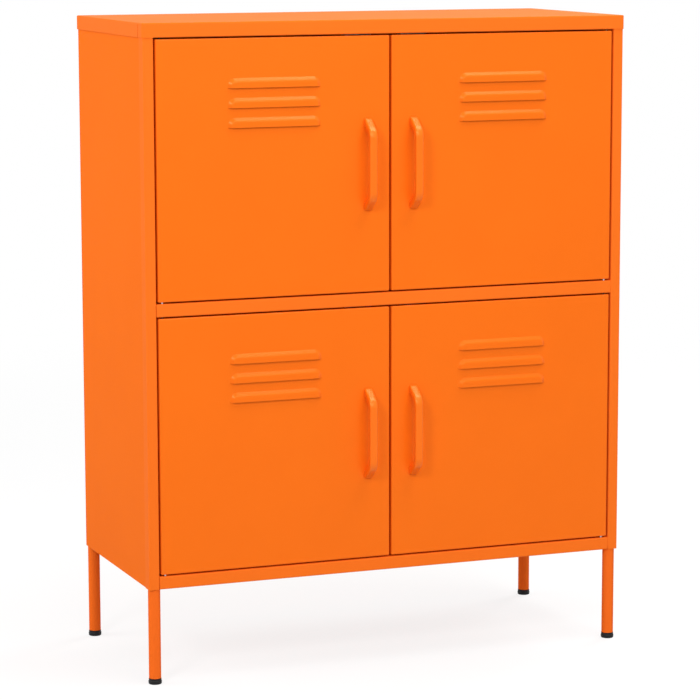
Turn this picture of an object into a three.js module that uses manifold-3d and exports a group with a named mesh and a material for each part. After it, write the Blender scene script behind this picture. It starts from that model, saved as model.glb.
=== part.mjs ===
// School locker: a low steel cabinet on four legs, with two pairs of hinged doors, one above the other.
// Lengths are in millimetres, +Z is up and the doors face -Y. The origin is on the floor, in the middle
// of the cabinet's footprint with its handles.

import * as THREE from 'three';
import { ConvexGeometry } from 'three/addons/geometries/ConvexGeometry.js';
import { mergeVertices } from 'three/addons/utils/BufferGeometryUtils.js';
import Module from 'manifold-3d';

const wasm = await Module();
wasm.setup();

// Overall size, measured over the top panel and down to the floor
const WIDTH = 800;
const DEPTH = 350;
const HEIGHT = 1015;

// What the front shows: the legs' zone, the top panel's lip, the rails, the stiles and the door gaps
const BODY_CLEARANCE = 150;
const TOP_LIP = 22;
const RAIL = 20;
const STILE = 16.5;
const DOOR_GAP = 2.5;

// Sheet steel, its folds, and the clearances between pieces
const SHEET = 0.8;
const BEND = 1.8;
const SEAT = 0.3;
const TOP_FIT = 0.4;
const OVERRUN = 1;
const TOP_CORNER = 3;
const LIP_SEAM = 0.4;

// Uprights and the rear folds of the side panels
const UPRIGHT_WRAP = 20;
const POST_FLANGE = 40;

// Returns under the bottom panel, the middle shelf and the loose shelves
const FRONT_RETURN = 40;
const SIDE_RETURN = 14;

// Doors: folded pans that turn on pins
const DOOR_DEPTH = 18;
const DOOR_LIP = 12;
const PIN_INSET = 8;
const PIN_SETBACK = 5.5;
const PIN_RADIUS = 2;
const PIN_REACH = 5;
const PIN_HEAD_RADIUS = 3.5;
const PIN_HEAD = 1.2;

// Louvres: three hoods pressed out of each door
const LOUVRE_COUNT = 3;
const LOUVRE_LENGTH = 150;
const LOUVRE_HEIGHT = 17;
const LOUVRE_PITCH = 30;
const LOUVRE_DROP = 75.5;
const LOUVRE_OUT = 5;
const LOUVRE_SLOPE = 9;
const LOUVRE_CORNER = 11;
const LANCE_CUT = 0.4;

// Handles: cast bows, each held by two screws from inside the door
const HANDLE_FROM_EDGE = 37;
const HANDLE_LENGTH = 143;
const HANDLE_WIDTH = 13;
const HANDLE_OUT = 27;
const HANDLE_BAR = 7.5;
const HANDLE_FOOT = 13.5;
const HANDLE_STUB = 3;
const HANDLE_DROP = 19;
const HANDLE_ROUND = 8;
const HANDLE_BEVEL = 2.6;
const HANDLE_HOLE_DEPTH = 8;
const SCREW_RADIUS = 2;
const SCREW_LENGTH = 7.5;
const SCREW_HEAD_RADIUS = 4;
const SCREW_HEAD = 2.4;
const SCREW_HEAD_CROWN = 1.2;

// Magnetic catches above the doors' meeting edges
const CATCH_FROM_EDGE = 45;
const CATCH_LENGTH = 44;
const CATCH_DEPTH = 16;
const CATCH_HEIGHT = 13;
const CATCH_EAR = 8;
const CATCH_EAR_HEIGHT = 3;
const POLE_OUT = 1.5;
const POLE_THICK = 2;
const POLE_SPACING = 6;

// Loose shelves, and the clips that hook into slots in the posts
const SHELF_HEIGHT = 18;
const SHELF_FRONT_SETBACK = 23.8;
const SHELF_BACK_SETBACK = 7.7;
const CLIP_SHEET = 1.2;
const CLIP_WIDTH = 12;
const CLIP_HEIGHT = 14;
const CLIP_REACH = 10;
const CLIP_HOOK = 2;
const SLOT_WIDTH = 3.2;
const SLOT_HEIGHT = 10;
const SLOT_PITCH = 60;
const SLOTS_EACH_WAY = 1;
const SLOT_FROM_FLANGE_END = 10;

// Legs, the brackets that hold them, and the levelling feet
const LEG_RADIUS = 9.5;
const LEG_WALL = 1.5;
const LEG_PLUG = 3;
const LEG_BUSH = 12;
const STUD_RADIUS = 3;
const STUD_LENGTH = 14;
const BRACKET_THICK = 3;
const BRACKET_DEPTH = 30;
const FOOT_RADIUS = 10.5;
const FOOT_TOP_RADIUS = 9.6;
const FOOT_FACE_RADIUS = 9.4;
const FOOT_HEIGHT = 9;
const FOOT_EDGE = 1.2;
const FOOT_WALL = 5;
const STEM_RADIUS = 4;
const STEM_LENGTH = 24;

// How finely round stretches are divided
const BEND_STEPS = 2;
const HANDLE_STEPS = 3;
const TUBE_SEGMENTS = 20;
const PIN_SEGMENTS = 12;
const HOOD_STEPS = 3;

// Planes and levels that follow from the sizes above
const HALF_WIDTH = WIDTH / 2 - SHEET - TOP_FIT;
const BACK = DEPTH / 2 - SHEET - TOP_FIT;
const FRONT = -BACK;
const LIP_BOTTOM = HEIGHT - TOP_LIP;
const BODY_BOTTOM = BODY_CLEARANCE;
const BODY_TOP = HEIGHT - BEND - SEAT;
const FLOOR_TOP = BODY_BOTTOM + RAIL;
const DOOR_HEIGHT = (LIP_BOTTOM - FLOOR_TOP - RAIL - 4 * DOOR_GAP) / 2;
const LOWER_DOOR = FLOOR_TOP + DOOR_GAP;
const MIDDLE_BOTTOM = LOWER_DOOR + DOOR_HEIGHT + DOOR_GAP;
const MIDDLE_TOP = MIDDLE_BOTTOM + RAIL;
const UPPER_DOOR = MIDDLE_TOP + DOOR_GAP;
const STILE_EDGE = HALF_WIDTH - STILE;
const HINGE_EDGE = STILE_EDGE - DOOR_GAP;
const MEETING_EDGE = DOOR_GAP / 2;
const SIDE_OUT = HALF_WIDTH - SHEET - SEAT;
const REAR_FACE = BACK - SHEET - SEAT;
const DOOR_BACK = FRONT + DOOR_DEPTH;
const PIN_X = HINGE_EDGE - PIN_INSET;
const PIN_Y = FRONT + PIN_SETBACK;
const HANDLE_X = MEETING_EDGE + HANDLE_FROM_EDGE;
const LEG_X = SIDE_OUT - LEG_RADIUS;
const LEG_Y = REAR_FACE - LEG_RADIUS;

const SIDES = { left: -1, right: 1 };
const ENDS = { front: -1, rear: 1 };
const ROWS = {
  lower: { door: LOWER_DOOR, floor: FLOOR_TOP, ceiling: MIDDLE_BOTTOM },
  upper: { door: UPPER_DOOR, floor: MIDDLE_TOP, ceiling: LIP_BOTTOM },
};

const PAINT = new THREE.MeshStandardMaterial({ color: 0xfc7c2c, roughness: 0.5, metalness: 0 });
const SIDE_PAINT = new THREE.MeshStandardMaterial({ color: 0xf97b2f, roughness: 0.5, metalness: 0 });
const DOOR_PAINT = new THREE.MeshStandardMaterial({ color: 0xfb7724, roughness: 0.5, metalness: 0 });
const HANDLE_PAINT = new THREE.MeshStandardMaterial({ color: 0xfb7d2a, roughness: 0.4, metalness: 0 });
const LEG_PAINT = new THREE.MeshStandardMaterial({ color: 0xf76c26, roughness: 0.5, metalness: 0 });
const ZINC = new THREE.MeshStandardMaterial({ color: 0xc8ccd0, roughness: 0.35, metalness: 1 });
const CATCH_PLASTIC = new THREE.MeshStandardMaterial({ color: 0xe9e9e4, roughness: 0.5, metalness: 0 });
const FOOT_PLASTIC = new THREE.MeshStandardMaterial({ color: 0x1b1b1d, roughness: 0.6, metalness: 0 });

// A closed geometry as a solid that can be joined and cut
function solid(geometry) {
  const bare = geometry.clone();
  bare.deleteAttribute('normal');
  bare.deleteAttribute('uv');
  const merged = mergeVertices(bare);
  return new wasm.Manifold(new wasm.Mesh({
    numProp: 3,
    vertProperties: Float32Array.from(merged.attributes.position.array),
    triVerts: Uint32Array.from(merged.index.array),
  }));
}

// The geometry of a solid
function skin(body) {
  const data = body.getMesh();
  const geometry = new THREE.BufferGeometry();
  geometry.setAttribute('position', new THREE.BufferAttribute(data.vertProperties, 3));
  geometry.setIndex(new THREE.BufferAttribute(data.triVerts, 1));
  geometry.computeVertexNormals();
  return geometry;
}

function join(...bodies) {
  return bodies.reduce((all, body) => all.add(body));
}

// A box between two opposite corners, given in either order
function block(corner, opposite) {
  const box = new THREE.Box3().setFromPoints([
    new THREE.Vector3(...corner),
    new THREE.Vector3(...opposite),
  ]);
  const size = box.getSize(new THREE.Vector3());
  const centre = box.getCenter(new THREE.Vector3());
  return solid(new THREE.BoxGeometry(size.x, size.y, size.z).translate(centre.x, centre.y, centre.z));
}

// A round bar that stands on its base point and points along +Z
function bar(radius, base, length, segments = PIN_SEGMENTS) {
  const geometry = new THREE.CylinderGeometry(radius, radius, length, segments);
  geometry.rotateX(Math.PI / 2);
  geometry.translate(base[0], base[1], base[2] + length / 2);
  return solid(geometry);
}

// A turned piece about Z, from a profile of radius and height points
function turned(profile, segments) {
  const points = profile.map(([radius, height]) => new THREE.Vector2(radius, height));
  return new THREE.LatheGeometry(points, segments).rotateX(Math.PI / 2);
}

// Straight runs between corner points, joined by bends of one radius
function bentLine(corners, radius, steps) {
  return corners.flatMap((corner, i) => {
    if (i === 0 || i === corners.length - 1) return [corner];
    const back = corners[i - 1].clone().sub(corner).normalize();
    const ahead = corners[i + 1].clone().sub(corner).normalize();
    const half = Math.acos(back.dot(ahead)) / 2;
    const turn = -Math.sign(back.cross(ahead)) * (Math.PI - 2 * half);
    const centre = back.clone().add(ahead).setLength(radius / Math.sin(half)).add(corner);
    const start = back.clone().setLength(radius / Math.tan(half)).add(corner);
    return Array.from({ length: steps + 1 }, (_, k) =>
      start.clone().rotateAround(centre, turn * k / steps));
  });
}

function flatPoints(pairs) {
  return pairs.map(([x, y]) => new THREE.Vector2(x, y));
}

// The outline of a strip of sheet folded along a centre line
function stripShape(corners) {
  const line = bentLine(flatPoints(corners), BEND - SHEET / 2, BEND_STEPS);
  const offset = (distance) => line.map((point, i) => {
    const before = line[Math.max(i - 1, 0)];
    const after = line[Math.min(i + 1, line.length - 1)];
    const along = after.clone().sub(before).normalize();
    return new THREE.Vector2(-along.y, along.x).multiplyScalar(distance).add(point);
  });
  return new THREE.Shape([...offset(SHEET / 2), ...offset(-SHEET / 2).reverse()]);
}

// An outline in plan, raised from one level to another
function raised(shape, bottom, top) {
  const geometry = new THREE.ExtrudeGeometry(shape, { depth: top - bottom, bevelEnabled: false });
  return solid(geometry.translate(0, 0, bottom));
}

// A block whose two front edges, top and bottom, are folded round a radius
function foldedBlock(halfLength, front, back, bottom, top, radius) {
  const profile = bentLine(flatPoints([
    [back, bottom],
    [front, bottom],
    [front, top],
    [back, top],
  ]), radius, BEND_STEPS);
  const shape = new THREE.Shape(profile);
  const geometry = new THREE.ExtrudeGeometry(shape, { depth: 2 * halfLength, bevelEnabled: false });
  geometry.translate(0, 0, -halfLength);
  geometry.applyMatrix4(new THREE.Matrix4().makeBasis(
    new THREE.Vector3(0, 1, 0),
    new THREE.Vector3(0, 0, 1),
    new THREE.Vector3(1, 0, 0),
  ));
  return solid(geometry);
}

// The corners of a rectangle in plan, rounded, at one level
function roundedRing(halfX, halfY, radius, level) {
  const quarter = (k) => k * Math.PI / (2 * BEND_STEPS);
  const ring = [];
  for (const [signX, signY, turn] of [[1, 1, 0], [-1, 1, 1], [-1, -1, 2], [1, -1, 3]]) {
    for (let k = 0; k <= BEND_STEPS; k += 1) {
      const angle = turn * Math.PI / 2 + quarter(k);
      const x = signX * (halfX - radius) + radius * Math.cos(angle);
      const y = signY * (halfY - radius) + radius * Math.sin(angle);
      ring.push(new THREE.Vector3(x, y, level));
    }
  }
  return ring;
}

// The top panel's form: a slab with round upright corners and a folded upper edge
function topSlab(halfX, halfY, corner, fold, bottom, top) {
  const rings = [roundedRing(halfX, halfY, corner, bottom)];
  for (let k = 0; k <= BEND_STEPS; k += 1) {
    const angle = k * Math.PI / (2 * BEND_STEPS);
    const inset = fold * (1 - Math.cos(angle));
    const level = top - fold + fold * Math.sin(angle);
    rings.push(roundedRing(halfX - inset, halfY - inset, corner - inset / 2, level));
  }
  return solid(new ConvexGeometry(rings.flat()));
}

// Top panel: a pan turned over the body, with a return behind its front lip for the door pins
function topPanel() {
  const outside = topSlab(WIDTH / 2, DEPTH / 2, TOP_CORNER, BEND, LIP_BOTTOM, HEIGHT);
  const inside = topSlab(WIDTH / 2 - SHEET, DEPTH / 2 - SHEET, TOP_CORNER - SHEET, BEND - SHEET,
    LIP_BOTTOM - OVERRUN, HEIGHT - SHEET);
  const shelf = block([STILE_EDGE - SEAT, -DEPTH / 2 + SHEET / 2, LIP_BOTTOM],
    [SEAT - STILE_EDGE, FRONT + FRONT_RETURN, LIP_BOTTOM + SHEET]);
  const seamFront = FRONT + UPRIGHT_WRAP;
  const seam = block([WIDTH / 2 + OVERRUN, seamFront, LIP_BOTTOM - OVERRUN],
    [-WIDTH / 2 - OVERRUN, seamFront + LIP_SEAM, HEIGHT - BEND]);
  const panel = join(outside.subtract(inside).subtract(seam), shelf);
  return skin(panel.subtract(pinHoles(LIP_BOTTOM, LIP_BOTTOM + SHEET)));
}

// The clearance holes for the pins of a pair of doors, through the sheet between two levels
function pinHoles(bottom, top) {
  return join(...Object.values(SIDES).map((side) =>
    bar(PIN_RADIUS + SEAT, [side * PIN_X, PIN_Y, bottom - OVERRUN], top - bottom + 2 * OVERRUN)));
}

// A shelf folded down on every side, with a return along the bottom of each fold
function tray({ half, front, back, bottom, height, frontReturn, wings }) {
  const top = bottom + height;
  const outline = (inset, lower, upper, radius) => {
    const body = foldedBlock(half - inset, front + inset, back - inset, lower, upper, radius);
    if (!wings) return body;
    return body.add(block([wings.half - inset, wings.front + inset, lower],
      [inset - wings.half, wings.back - inset, upper]));
  };
  const outside = outline(0, bottom, top, BEND);
  const hollow = outline(SHEET, bottom + SHEET, top - SHEET, BEND - SHEET);
  const window = block([half - SIDE_RETURN, front + frontReturn, bottom - OVERRUN],
    [SIDE_RETURN - half, back - SIDE_RETURN, bottom + SHEET + OVERRUN]);
  return outside.subtract(hollow).subtract(window);
}

const BETWEEN_POSTS = {
  half: STILE_EDGE - SEAT,
  front: FRONT,
  back: REAR_FACE,
  height: RAIL,
  wings: {
    half: SIDE_OUT - SHEET - SEAT,
    front: FRONT + POST_FLANGE + SEAT,
    back: REAR_FACE - POST_FLANGE - SEAT,
  },
};

function bottomPanel() {
  const panel = tray({ ...BETWEEN_POSTS, bottom: BODY_BOTTOM, frontReturn: SIDE_RETURN });
  return skin(panel.subtract(pinHoles(FLOOR_TOP - SHEET, FLOOR_TOP)));
}

function middleShelf() {
  const shelf = tray({ ...BETWEEN_POSTS, bottom: MIDDLE_BOTTOM, frontReturn: FRONT_RETURN });
  return skin(shelf.subtract(pinHoles(MIDDLE_BOTTOM, MIDDLE_TOP)));
}

// Heights of the slots for shelf clips in one row, the middle one in use
function slotLevels({ floor, ceiling }) {
  const middle = (floor + ceiling) / 2;
  return Array.from({ length: 2 * SLOTS_EACH_WAY + 1 }, (_, k) =>
    middle + (k - SLOTS_EACH_WAY) * SLOT_PITCH);
}

function slotY(end) {
  return end < 0
    ? FRONT + POST_FLANGE - SLOT_FROM_FLANGE_END
    : REAR_FACE - POST_FLANGE + SLOT_FROM_FLANGE_END;
}

function slots(side, end) {
  const levels = Object.values(ROWS).flatMap(slotLevels);
  return join(...levels.map((level) => block(
    [side * (STILE_EDGE - OVERRUN), slotY(end) - SLOT_WIDTH / 2, level - SLOT_HEIGHT / 2],
    [side * (STILE_EDGE + SHEET + OVERRUN), slotY(end) + SLOT_WIDTH / 2, level + SLOT_HEIGHT / 2],
  )));
}

// Front upright: it wraps the corner, shows as the stile, and turns in beside the doors
function upright(side) {
  const shape = stripShape([
    [side * (HALF_WIDTH - SHEET / 2), FRONT + UPRIGHT_WRAP],
    [side * (HALF_WIDTH - SHEET / 2), FRONT + SHEET / 2],
    [side * (STILE_EDGE + SHEET / 2), FRONT + SHEET / 2],
    [side * (STILE_EDGE + SHEET / 2), FRONT + POST_FLANGE],
  ]);
  return skin(raised(shape, BODY_BOTTOM, BODY_TOP).subtract(slots(side, ENDS.front)));
}

// Side panel: flat, with its rear edge folded into a post behind the back panel's edge
function sidePanel(side) {
  const shape = stripShape([
    [side * (SIDE_OUT - SHEET / 2), FRONT + BEND + SEAT],
    [side * (SIDE_OUT - SHEET / 2), REAR_FACE - SHEET / 2],
    [side * (STILE_EDGE + SHEET / 2), REAR_FACE - SHEET / 2],
    [side * (STILE_EDGE + SHEET / 2), REAR_FACE - POST_FLANGE],
  ]);
  return skin(raised(shape, BODY_BOTTOM, BODY_TOP).subtract(slots(side, ENDS.rear)));
}

function backPanel() {
  return skin(block([SIDE_OUT, BACK - SHEET, BODY_BOTTOM], [-SIDE_OUT, BACK, BODY_TOP]));
}

// The hood of a louvre as a convex block: its outline shrinks as it rises from the door's face
function hood(middleX, bottom, wall, footing, below) {
  const out = LOUVRE_OUT - wall;
  const points = [];
  for (let ring = -1; ring <= HOOD_STEPS; ring += 1) {
    const angle = Math.max(ring, 0) * Math.PI / (2 * HOOD_STEPS);
    const inset = wall + (LOUVRE_SLOPE - wall) * (1 - Math.cos(angle));
    const y = ring < 0 ? FRONT + footing : FRONT - out * Math.sin(angle);
    const halfX = LOUVRE_LENGTH / 2 - inset;
    const top = bottom + LOUVRE_HEIGHT - inset;
    const round = Math.max(LOUVRE_CORNER - inset, SHEET);
    for (const side of Object.values(SIDES)) {
      points.push(new THREE.Vector3(middleX + side * halfX, y, bottom - below));
      for (let k = 0; k <= HOOD_STEPS; k += 1) {
        const turn = k * Math.PI / (2 * HOOD_STEPS);
        const x = middleX + side * (halfX - round + round * Math.cos(turn));
        points.push(new THREE.Vector3(x, y, top - round + round * Math.sin(turn)));
      }
    }
  }
  return solid(new ConvexGeometry(points));
}

// The pan of a door: its face folds back on every side, and the folds turn in again behind it
function doorPan(side, bottom) {
  const near = side * MEETING_EDGE;
  const far = side * HINGE_EDGE;
  const top = bottom + DOOR_HEIGHT;
  const pan = (inset, front, back, fold) => {
    const points = [];
    for (let k = 0; k <= BEND_STEPS + 1; k += 1) {
      const angle = Math.min(k, BEND_STEPS) * Math.PI / (2 * BEND_STEPS);
      const shrink = inset + fold * (1 - Math.sin(angle));
      const y = k > BEND_STEPS ? back : front + fold * (1 - Math.cos(angle));
      for (const x of [near + side * shrink, far - side * shrink]) {
        for (const z of [bottom + shrink, top - shrink]) points.push(new THREE.Vector3(x, y, z));
      }
    }
    return solid(new ConvexGeometry(points));
  };
  const outside = pan(0, FRONT, DOOR_BACK, BEND);
  const hollow = pan(SHEET, FRONT + SHEET, DOOR_BACK - SHEET, BEND - SHEET);
  const window = block([near + side * DOOR_LIP, DOOR_BACK - SHEET - OVERRUN, bottom + DOOR_LIP],
    [far - side * DOOR_LIP, DOOR_BACK + OVERRUN, top - DOOR_LIP]);
  return outside.subtract(hollow).subtract(window);
}

function door(side, bottom) {
  const top = bottom + DOOR_HEIGHT;
  const middleX = side * (MEETING_EDGE + HINGE_EDGE) / 2;
  let body = doorPan(side, bottom);
  for (let i = 0; i < LOUVRE_COUNT; i += 1) {
    const edge = top - LOUVRE_DROP - i * LOUVRE_PITCH;
    body = body.add(hood(middleX, edge, 0, SHEET, 0));
    body = body.subtract(hood(middleX, edge, SHEET, SHEET + OVERRUN, LANCE_CUT));
  }
  for (const level of [bottom, top - SHEET]) {
    body = body.subtract(pinHoles(level, level + SHEET));
  }
  for (const end of handleScrewLevels(bottom)) {
    const hole = new THREE.CylinderGeometry(SCREW_RADIUS + SEAT, SCREW_RADIUS + SEAT,
      SHEET + 2 * OVERRUN, PIN_SEGMENTS);
    body = body.subtract(solid(hole.translate(side * HANDLE_X, FRONT + SHEET / 2, end)));
  }
  return skin(body);
}

// A handle's two screws stand in the middle of its feet
function handleScrewLevels(doorBottom) {
  const middle = doorBottom + DOOR_HEIGHT / 2;
  const reach = (HANDLE_LENGTH - HANDLE_FOOT) / 2 - SCREW_HEAD_CROWN / 2;
  return [middle - reach, middle + reach];
}

// Handle, seen from the side: straight feet, sloping ends and a straight bar
function handle(side, doorBottom) {
  const middle = doorBottom + DOOR_HEIGHT / 2;
  const half = HANDLE_LENGTH / 2;
  const sunk = -HANDLE_BEVEL - OVERRUN;
  const side2d = (out, stub, foot, elbow, radius) => bentLine(flatPoints([
    [sunk, foot],
    [stub, foot],
    [out, elbow],
    [out, -elbow],
    [stub, -foot],
    [sunk, -foot],
  ]), radius, HANDLE_STEPS);
  const outer = side2d(HANDLE_OUT, HANDLE_STUB, half, half - HANDLE_DROP, HANDLE_ROUND);
  const inner = side2d(HANDLE_OUT - HANDLE_BAR, HANDLE_STUB, half - HANDLE_FOOT,
    half - HANDLE_DROP - HANDLE_BAR, HANDLE_ROUND - HANDLE_BEVEL);
  const shape = new THREE.Shape([...outer, ...inner.reverse()]);
  const bow = new THREE.ExtrudeGeometry(shape, {
    depth: HANDLE_WIDTH - 2 * HANDLE_BEVEL,
    bevelThickness: HANDLE_BEVEL,
    bevelSize: HANDLE_BEVEL,
    bevelOffset: -HANDLE_BEVEL,
    bevelSegments: BEND_STEPS,
  });
  bow.translate(0, 0, HANDLE_BEVEL - HANDLE_WIDTH / 2);
  bow.applyMatrix4(new THREE.Matrix4().makeBasis(
    new THREE.Vector3(0, -1, 0),
    new THREE.Vector3(0, 0, 1),
    new THREE.Vector3(-1, 0, 0),
  ));
  bow.translate(side * HANDLE_X, FRONT, middle);
  const behind = block([side * HANDLE_X - HANDLE_WIDTH, FRONT - SEAT, doorBottom],
    [side * HANDLE_X + HANDLE_WIDTH, FRONT + DOOR_DEPTH, doorBottom + DOOR_HEIGHT]);
  let body = solid(bow).subtract(behind);
  for (const level of handleScrewLevels(doorBottom)) {
    const hole = new THREE.CylinderGeometry(SCREW_RADIUS + SEAT, SCREW_RADIUS + SEAT,
      HANDLE_HOLE_DEPTH + OVERRUN, PIN_SEGMENTS);
    hole.translate(side * HANDLE_X, FRONT + (OVERRUN - HANDLE_HOLE_DEPTH) / 2, level);
    body = body.subtract(solid(hole));
  }
  return skin(body);
}

// Pin with a flat head, standing on its head
const PIN_LENGTH = PIN_HEAD + SEAT + 2 * SHEET + DOOR_GAP + PIN_REACH;
const pinGeometry = turned([
  [0, 0],
  [PIN_HEAD_RADIUS, 0],
  [PIN_HEAD_RADIUS, PIN_HEAD],
  [PIN_RADIUS, PIN_HEAD],
  [PIN_RADIUS, PIN_LENGTH],
  [0, PIN_LENGTH],
], PIN_SEGMENTS);

// Handle screw, its crowned head at the bottom
const screwGeometry = turned([
  [0, 0],
  [SCREW_HEAD_RADIUS - SCREW_HEAD_CROWN, 0],
  [SCREW_HEAD_RADIUS, SCREW_HEAD_CROWN],
  [SCREW_HEAD_RADIUS, SCREW_HEAD],
  [SCREW_RADIUS, SCREW_HEAD],
  [SCREW_RADIUS, SCREW_HEAD + SCREW_LENGTH],
  [0, SCREW_HEAD + SCREW_LENGTH],
], PIN_SEGMENTS);

// Magnetic catch: a housing with screw ears, and two steel poles that meet the door's fold
function magneticCatch(side, ceiling) {
  const middle = side * (MEETING_EDGE + CATCH_FROM_EDGE);
  const top = ceiling - SEAT;
  const front = DOOR_BACK + SEAT;
  const poles = [-1, 1].map((way) => {
    const level = top - CATCH_HEIGHT / 2 + way * POLE_SPACING / 2;
    return block(
      [middle - CATCH_LENGTH / 2 + CATCH_EAR + POLE_OUT, front, level - POLE_THICK / 2],
      [middle + CATCH_LENGTH / 2 - CATCH_EAR - POLE_OUT, front + CATCH_DEPTH / 2, level + POLE_THICK / 2],
    );
  });
  return skin(join(
    block([middle - CATCH_LENGTH / 2 + CATCH_EAR, front + POLE_OUT, top - CATCH_HEIGHT],
      [middle + CATCH_LENGTH / 2 - CATCH_EAR, front + CATCH_DEPTH, top]),
    block([middle - CATCH_LENGTH / 2, front + POLE_OUT, top - CATCH_EAR_HEIGHT],
      [middle + CATCH_LENGTH / 2, front + CATCH_DEPTH, top]),
    ...poles,
  ));
}

// Level of the ledge that a clip in the middle slot offers, and of the shelf that lies on it
function ledge(row) {
  return (row.floor + row.ceiling) / 2 + CLIP_HEIGHT / 2;
}

function looseShelf(row) {
  return skin(tray({
    half: STILE_EDGE - CLIP_SHEET - 2 * SEAT,
    front: FRONT + SHELF_FRONT_SETBACK,
    back: REAR_FACE - SHELF_BACK_SETBACK,
    bottom: ledge(row) + SEAT,
    height: SHELF_HEIGHT,
    frontReturn: SIDE_RETURN,
  }));
}

function shelfClip(side, end, row) {
  const top = ledge(row);
  const middle = slotY(end);
  const face = side * (STILE_EDGE - SEAT);
  const hookHalf = SLOT_HEIGHT / 2 - SEAT;
  const slotMiddle = top - CLIP_HEIGHT / 2;
  return skin(join(
    block([face, middle - CLIP_WIDTH / 2, top - CLIP_HEIGHT],
      [face - side * CLIP_SHEET, middle + CLIP_WIDTH / 2, top]),
    block([face, middle - CLIP_WIDTH / 2, top - CLIP_SHEET],
      [face - side * CLIP_REACH, middle + CLIP_WIDTH / 2, top]),
    block([face - side * CLIP_SHEET / 2, middle - SLOT_WIDTH / 2 + SEAT, slotMiddle - hookHalf],
      [side * (STILE_EDGE + SHEET + CLIP_HOOK), middle + SLOT_WIDTH / 2 - SEAT, slotMiddle + hookHalf]),
  ));
}

// Leg: a tube with a stud welded in its top and a threaded bush in its foot
const legTop = BODY_BOTTOM - SEAT;
const legGeometry = turned([
  [0, legTop - LEG_PLUG],
  [LEG_RADIUS - LEG_WALL, legTop - LEG_PLUG],
  [LEG_RADIUS - LEG_WALL, FOOT_HEIGHT + LEG_BUSH],
  [STEM_RADIUS + SEAT, FOOT_HEIGHT + LEG_BUSH],
  [STEM_RADIUS + SEAT, FOOT_HEIGHT],
  [LEG_RADIUS, FOOT_HEIGHT],
  [LEG_RADIUS, legTop],
  [STUD_RADIUS, legTop],
  [STUD_RADIUS, legTop + STUD_LENGTH],
  [0, legTop + STUD_LENGTH],
], TUBE_SEGMENTS);

// Levelling foot: a moulded pad on a threaded stem
const footGeometry = turned([
  [0, 0],
  [FOOT_FACE_RADIUS, 0],
  [FOOT_RADIUS, FOOT_EDGE],
  [FOOT_RADIUS, FOOT_WALL],
  [FOOT_TOP_RADIUS, FOOT_HEIGHT - SEAT],
  [STEM_RADIUS, FOOT_HEIGHT - SEAT],
  [STEM_RADIUS, STEM_LENGTH],
  [0, STEM_LENGTH],
], TUBE_SEGMENTS);

// Bracket in the bottom of a post, with the hole for a leg's stud
function legBracket(side, end) {
  const inner = side * (STILE_EDGE + SHEET + SEAT);
  const outer = side * (SIDE_OUT - SHEET - SEAT);
  const edge = end < 0 ? FRONT + BEND + SEAT : REAR_FACE - BEND - SEAT;
  const plate = block([inner, edge, BODY_BOTTOM + SEAT],
    [outer, edge - end * BRACKET_DEPTH, BODY_BOTTOM + SEAT + BRACKET_THICK]);
  const base = [side * LEG_X, end * LEG_Y, BODY_BOTTOM - OVERRUN];
  return skin(plate.subtract(bar(STUD_RADIUS + SEAT, base, BRACKET_THICK + 3 * OVERRUN)));
}

const locker = new THREE.Group();

function place(name, geometry, material, position = [0, 0, 0], rotation = [0, 0, 0]) {
  const mesh = new THREE.Mesh(geometry, material);
  mesh.name = name;
  mesh.position.set(...position);
  mesh.rotation.set(...rotation);
  locker.add(mesh);
}

place('top_panel', topPanel(), PAINT);
place('bottom_panel', bottomPanel(), PAINT);
place('middle_shelf', middleShelf(), PAINT);
place('back_panel', backPanel(), SIDE_PAINT);

for (const [sideName, side] of Object.entries(SIDES)) {
  place(`side_panel_${sideName}`, sidePanel(side), SIDE_PAINT);
  place(`front_upright_${sideName}`, upright(side), PAINT);
  for (const [endName, end] of Object.entries(ENDS)) {
    const corner = `${endName}_${sideName}`;
    const spot = [side * LEG_X, end * LEG_Y, 0];
    place(`leg_bracket_${corner}`, legBracket(side, end), ZINC);
    place(`leg_${corner}`, legGeometry, LEG_PAINT, spot);
    place(`levelling_foot_${corner}`, footGeometry, FOOT_PLASTIC, spot);
  }
}

const UPSIDE_DOWN = [Math.PI, 0, 0];
const HEAD_INWARD = [Math.PI / 2, 0, 0];

for (const [rowName, row] of Object.entries(ROWS)) {
  place(`loose_shelf_${rowName}`, looseShelf(row), PAINT);
  for (const [sideName, side] of Object.entries(SIDES)) {
    const which = `${rowName}_${sideName}`;
    place(`door_${which}`, door(side, row.door), DOOR_PAINT);
    place(`handle_${which}`, handle(side, row.door), HANDLE_PAINT);
    place(`magnetic_catch_${which}`, magneticCatch(side, row.ceiling), CATCH_PLASTIC);
    const headBelow = row.floor - SHEET - SEAT - PIN_HEAD;
    const headAbove = row.ceiling + SHEET + SEAT + PIN_HEAD;
    place(`pin_bottom_${which}`, pinGeometry, ZINC, [side * PIN_X, PIN_Y, headBelow]);
    place(`pin_top_${which}`, pinGeometry, ZINC, [side * PIN_X, PIN_Y, headAbove], UPSIDE_DOWN);
    handleScrewLevels(row.door).forEach((level, i) => {
      const head = [side * HANDLE_X, FRONT + SHEET + SEAT + SCREW_HEAD, level];
      place(`handle_screw_${['bottom', 'top'][i]}_${which}`, screwGeometry, ZINC, head, HEAD_INWARD);
    });
    for (const [endName, end] of Object.entries(ENDS)) {
      place(`shelf_clip_${endName}_${which}`, shelfClip(side, end, row), ZINC);
    }
  }
}

// The handles stand out in front, so the cabinet moves back by half of that to centre the footprint
locker.position.y = (HANDLE_OUT - SHEET - TOP_FIT) / 2;

export default locker;
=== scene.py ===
import math

import bmesh
import bpy
from mathutils import Matrix, Vector


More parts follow.
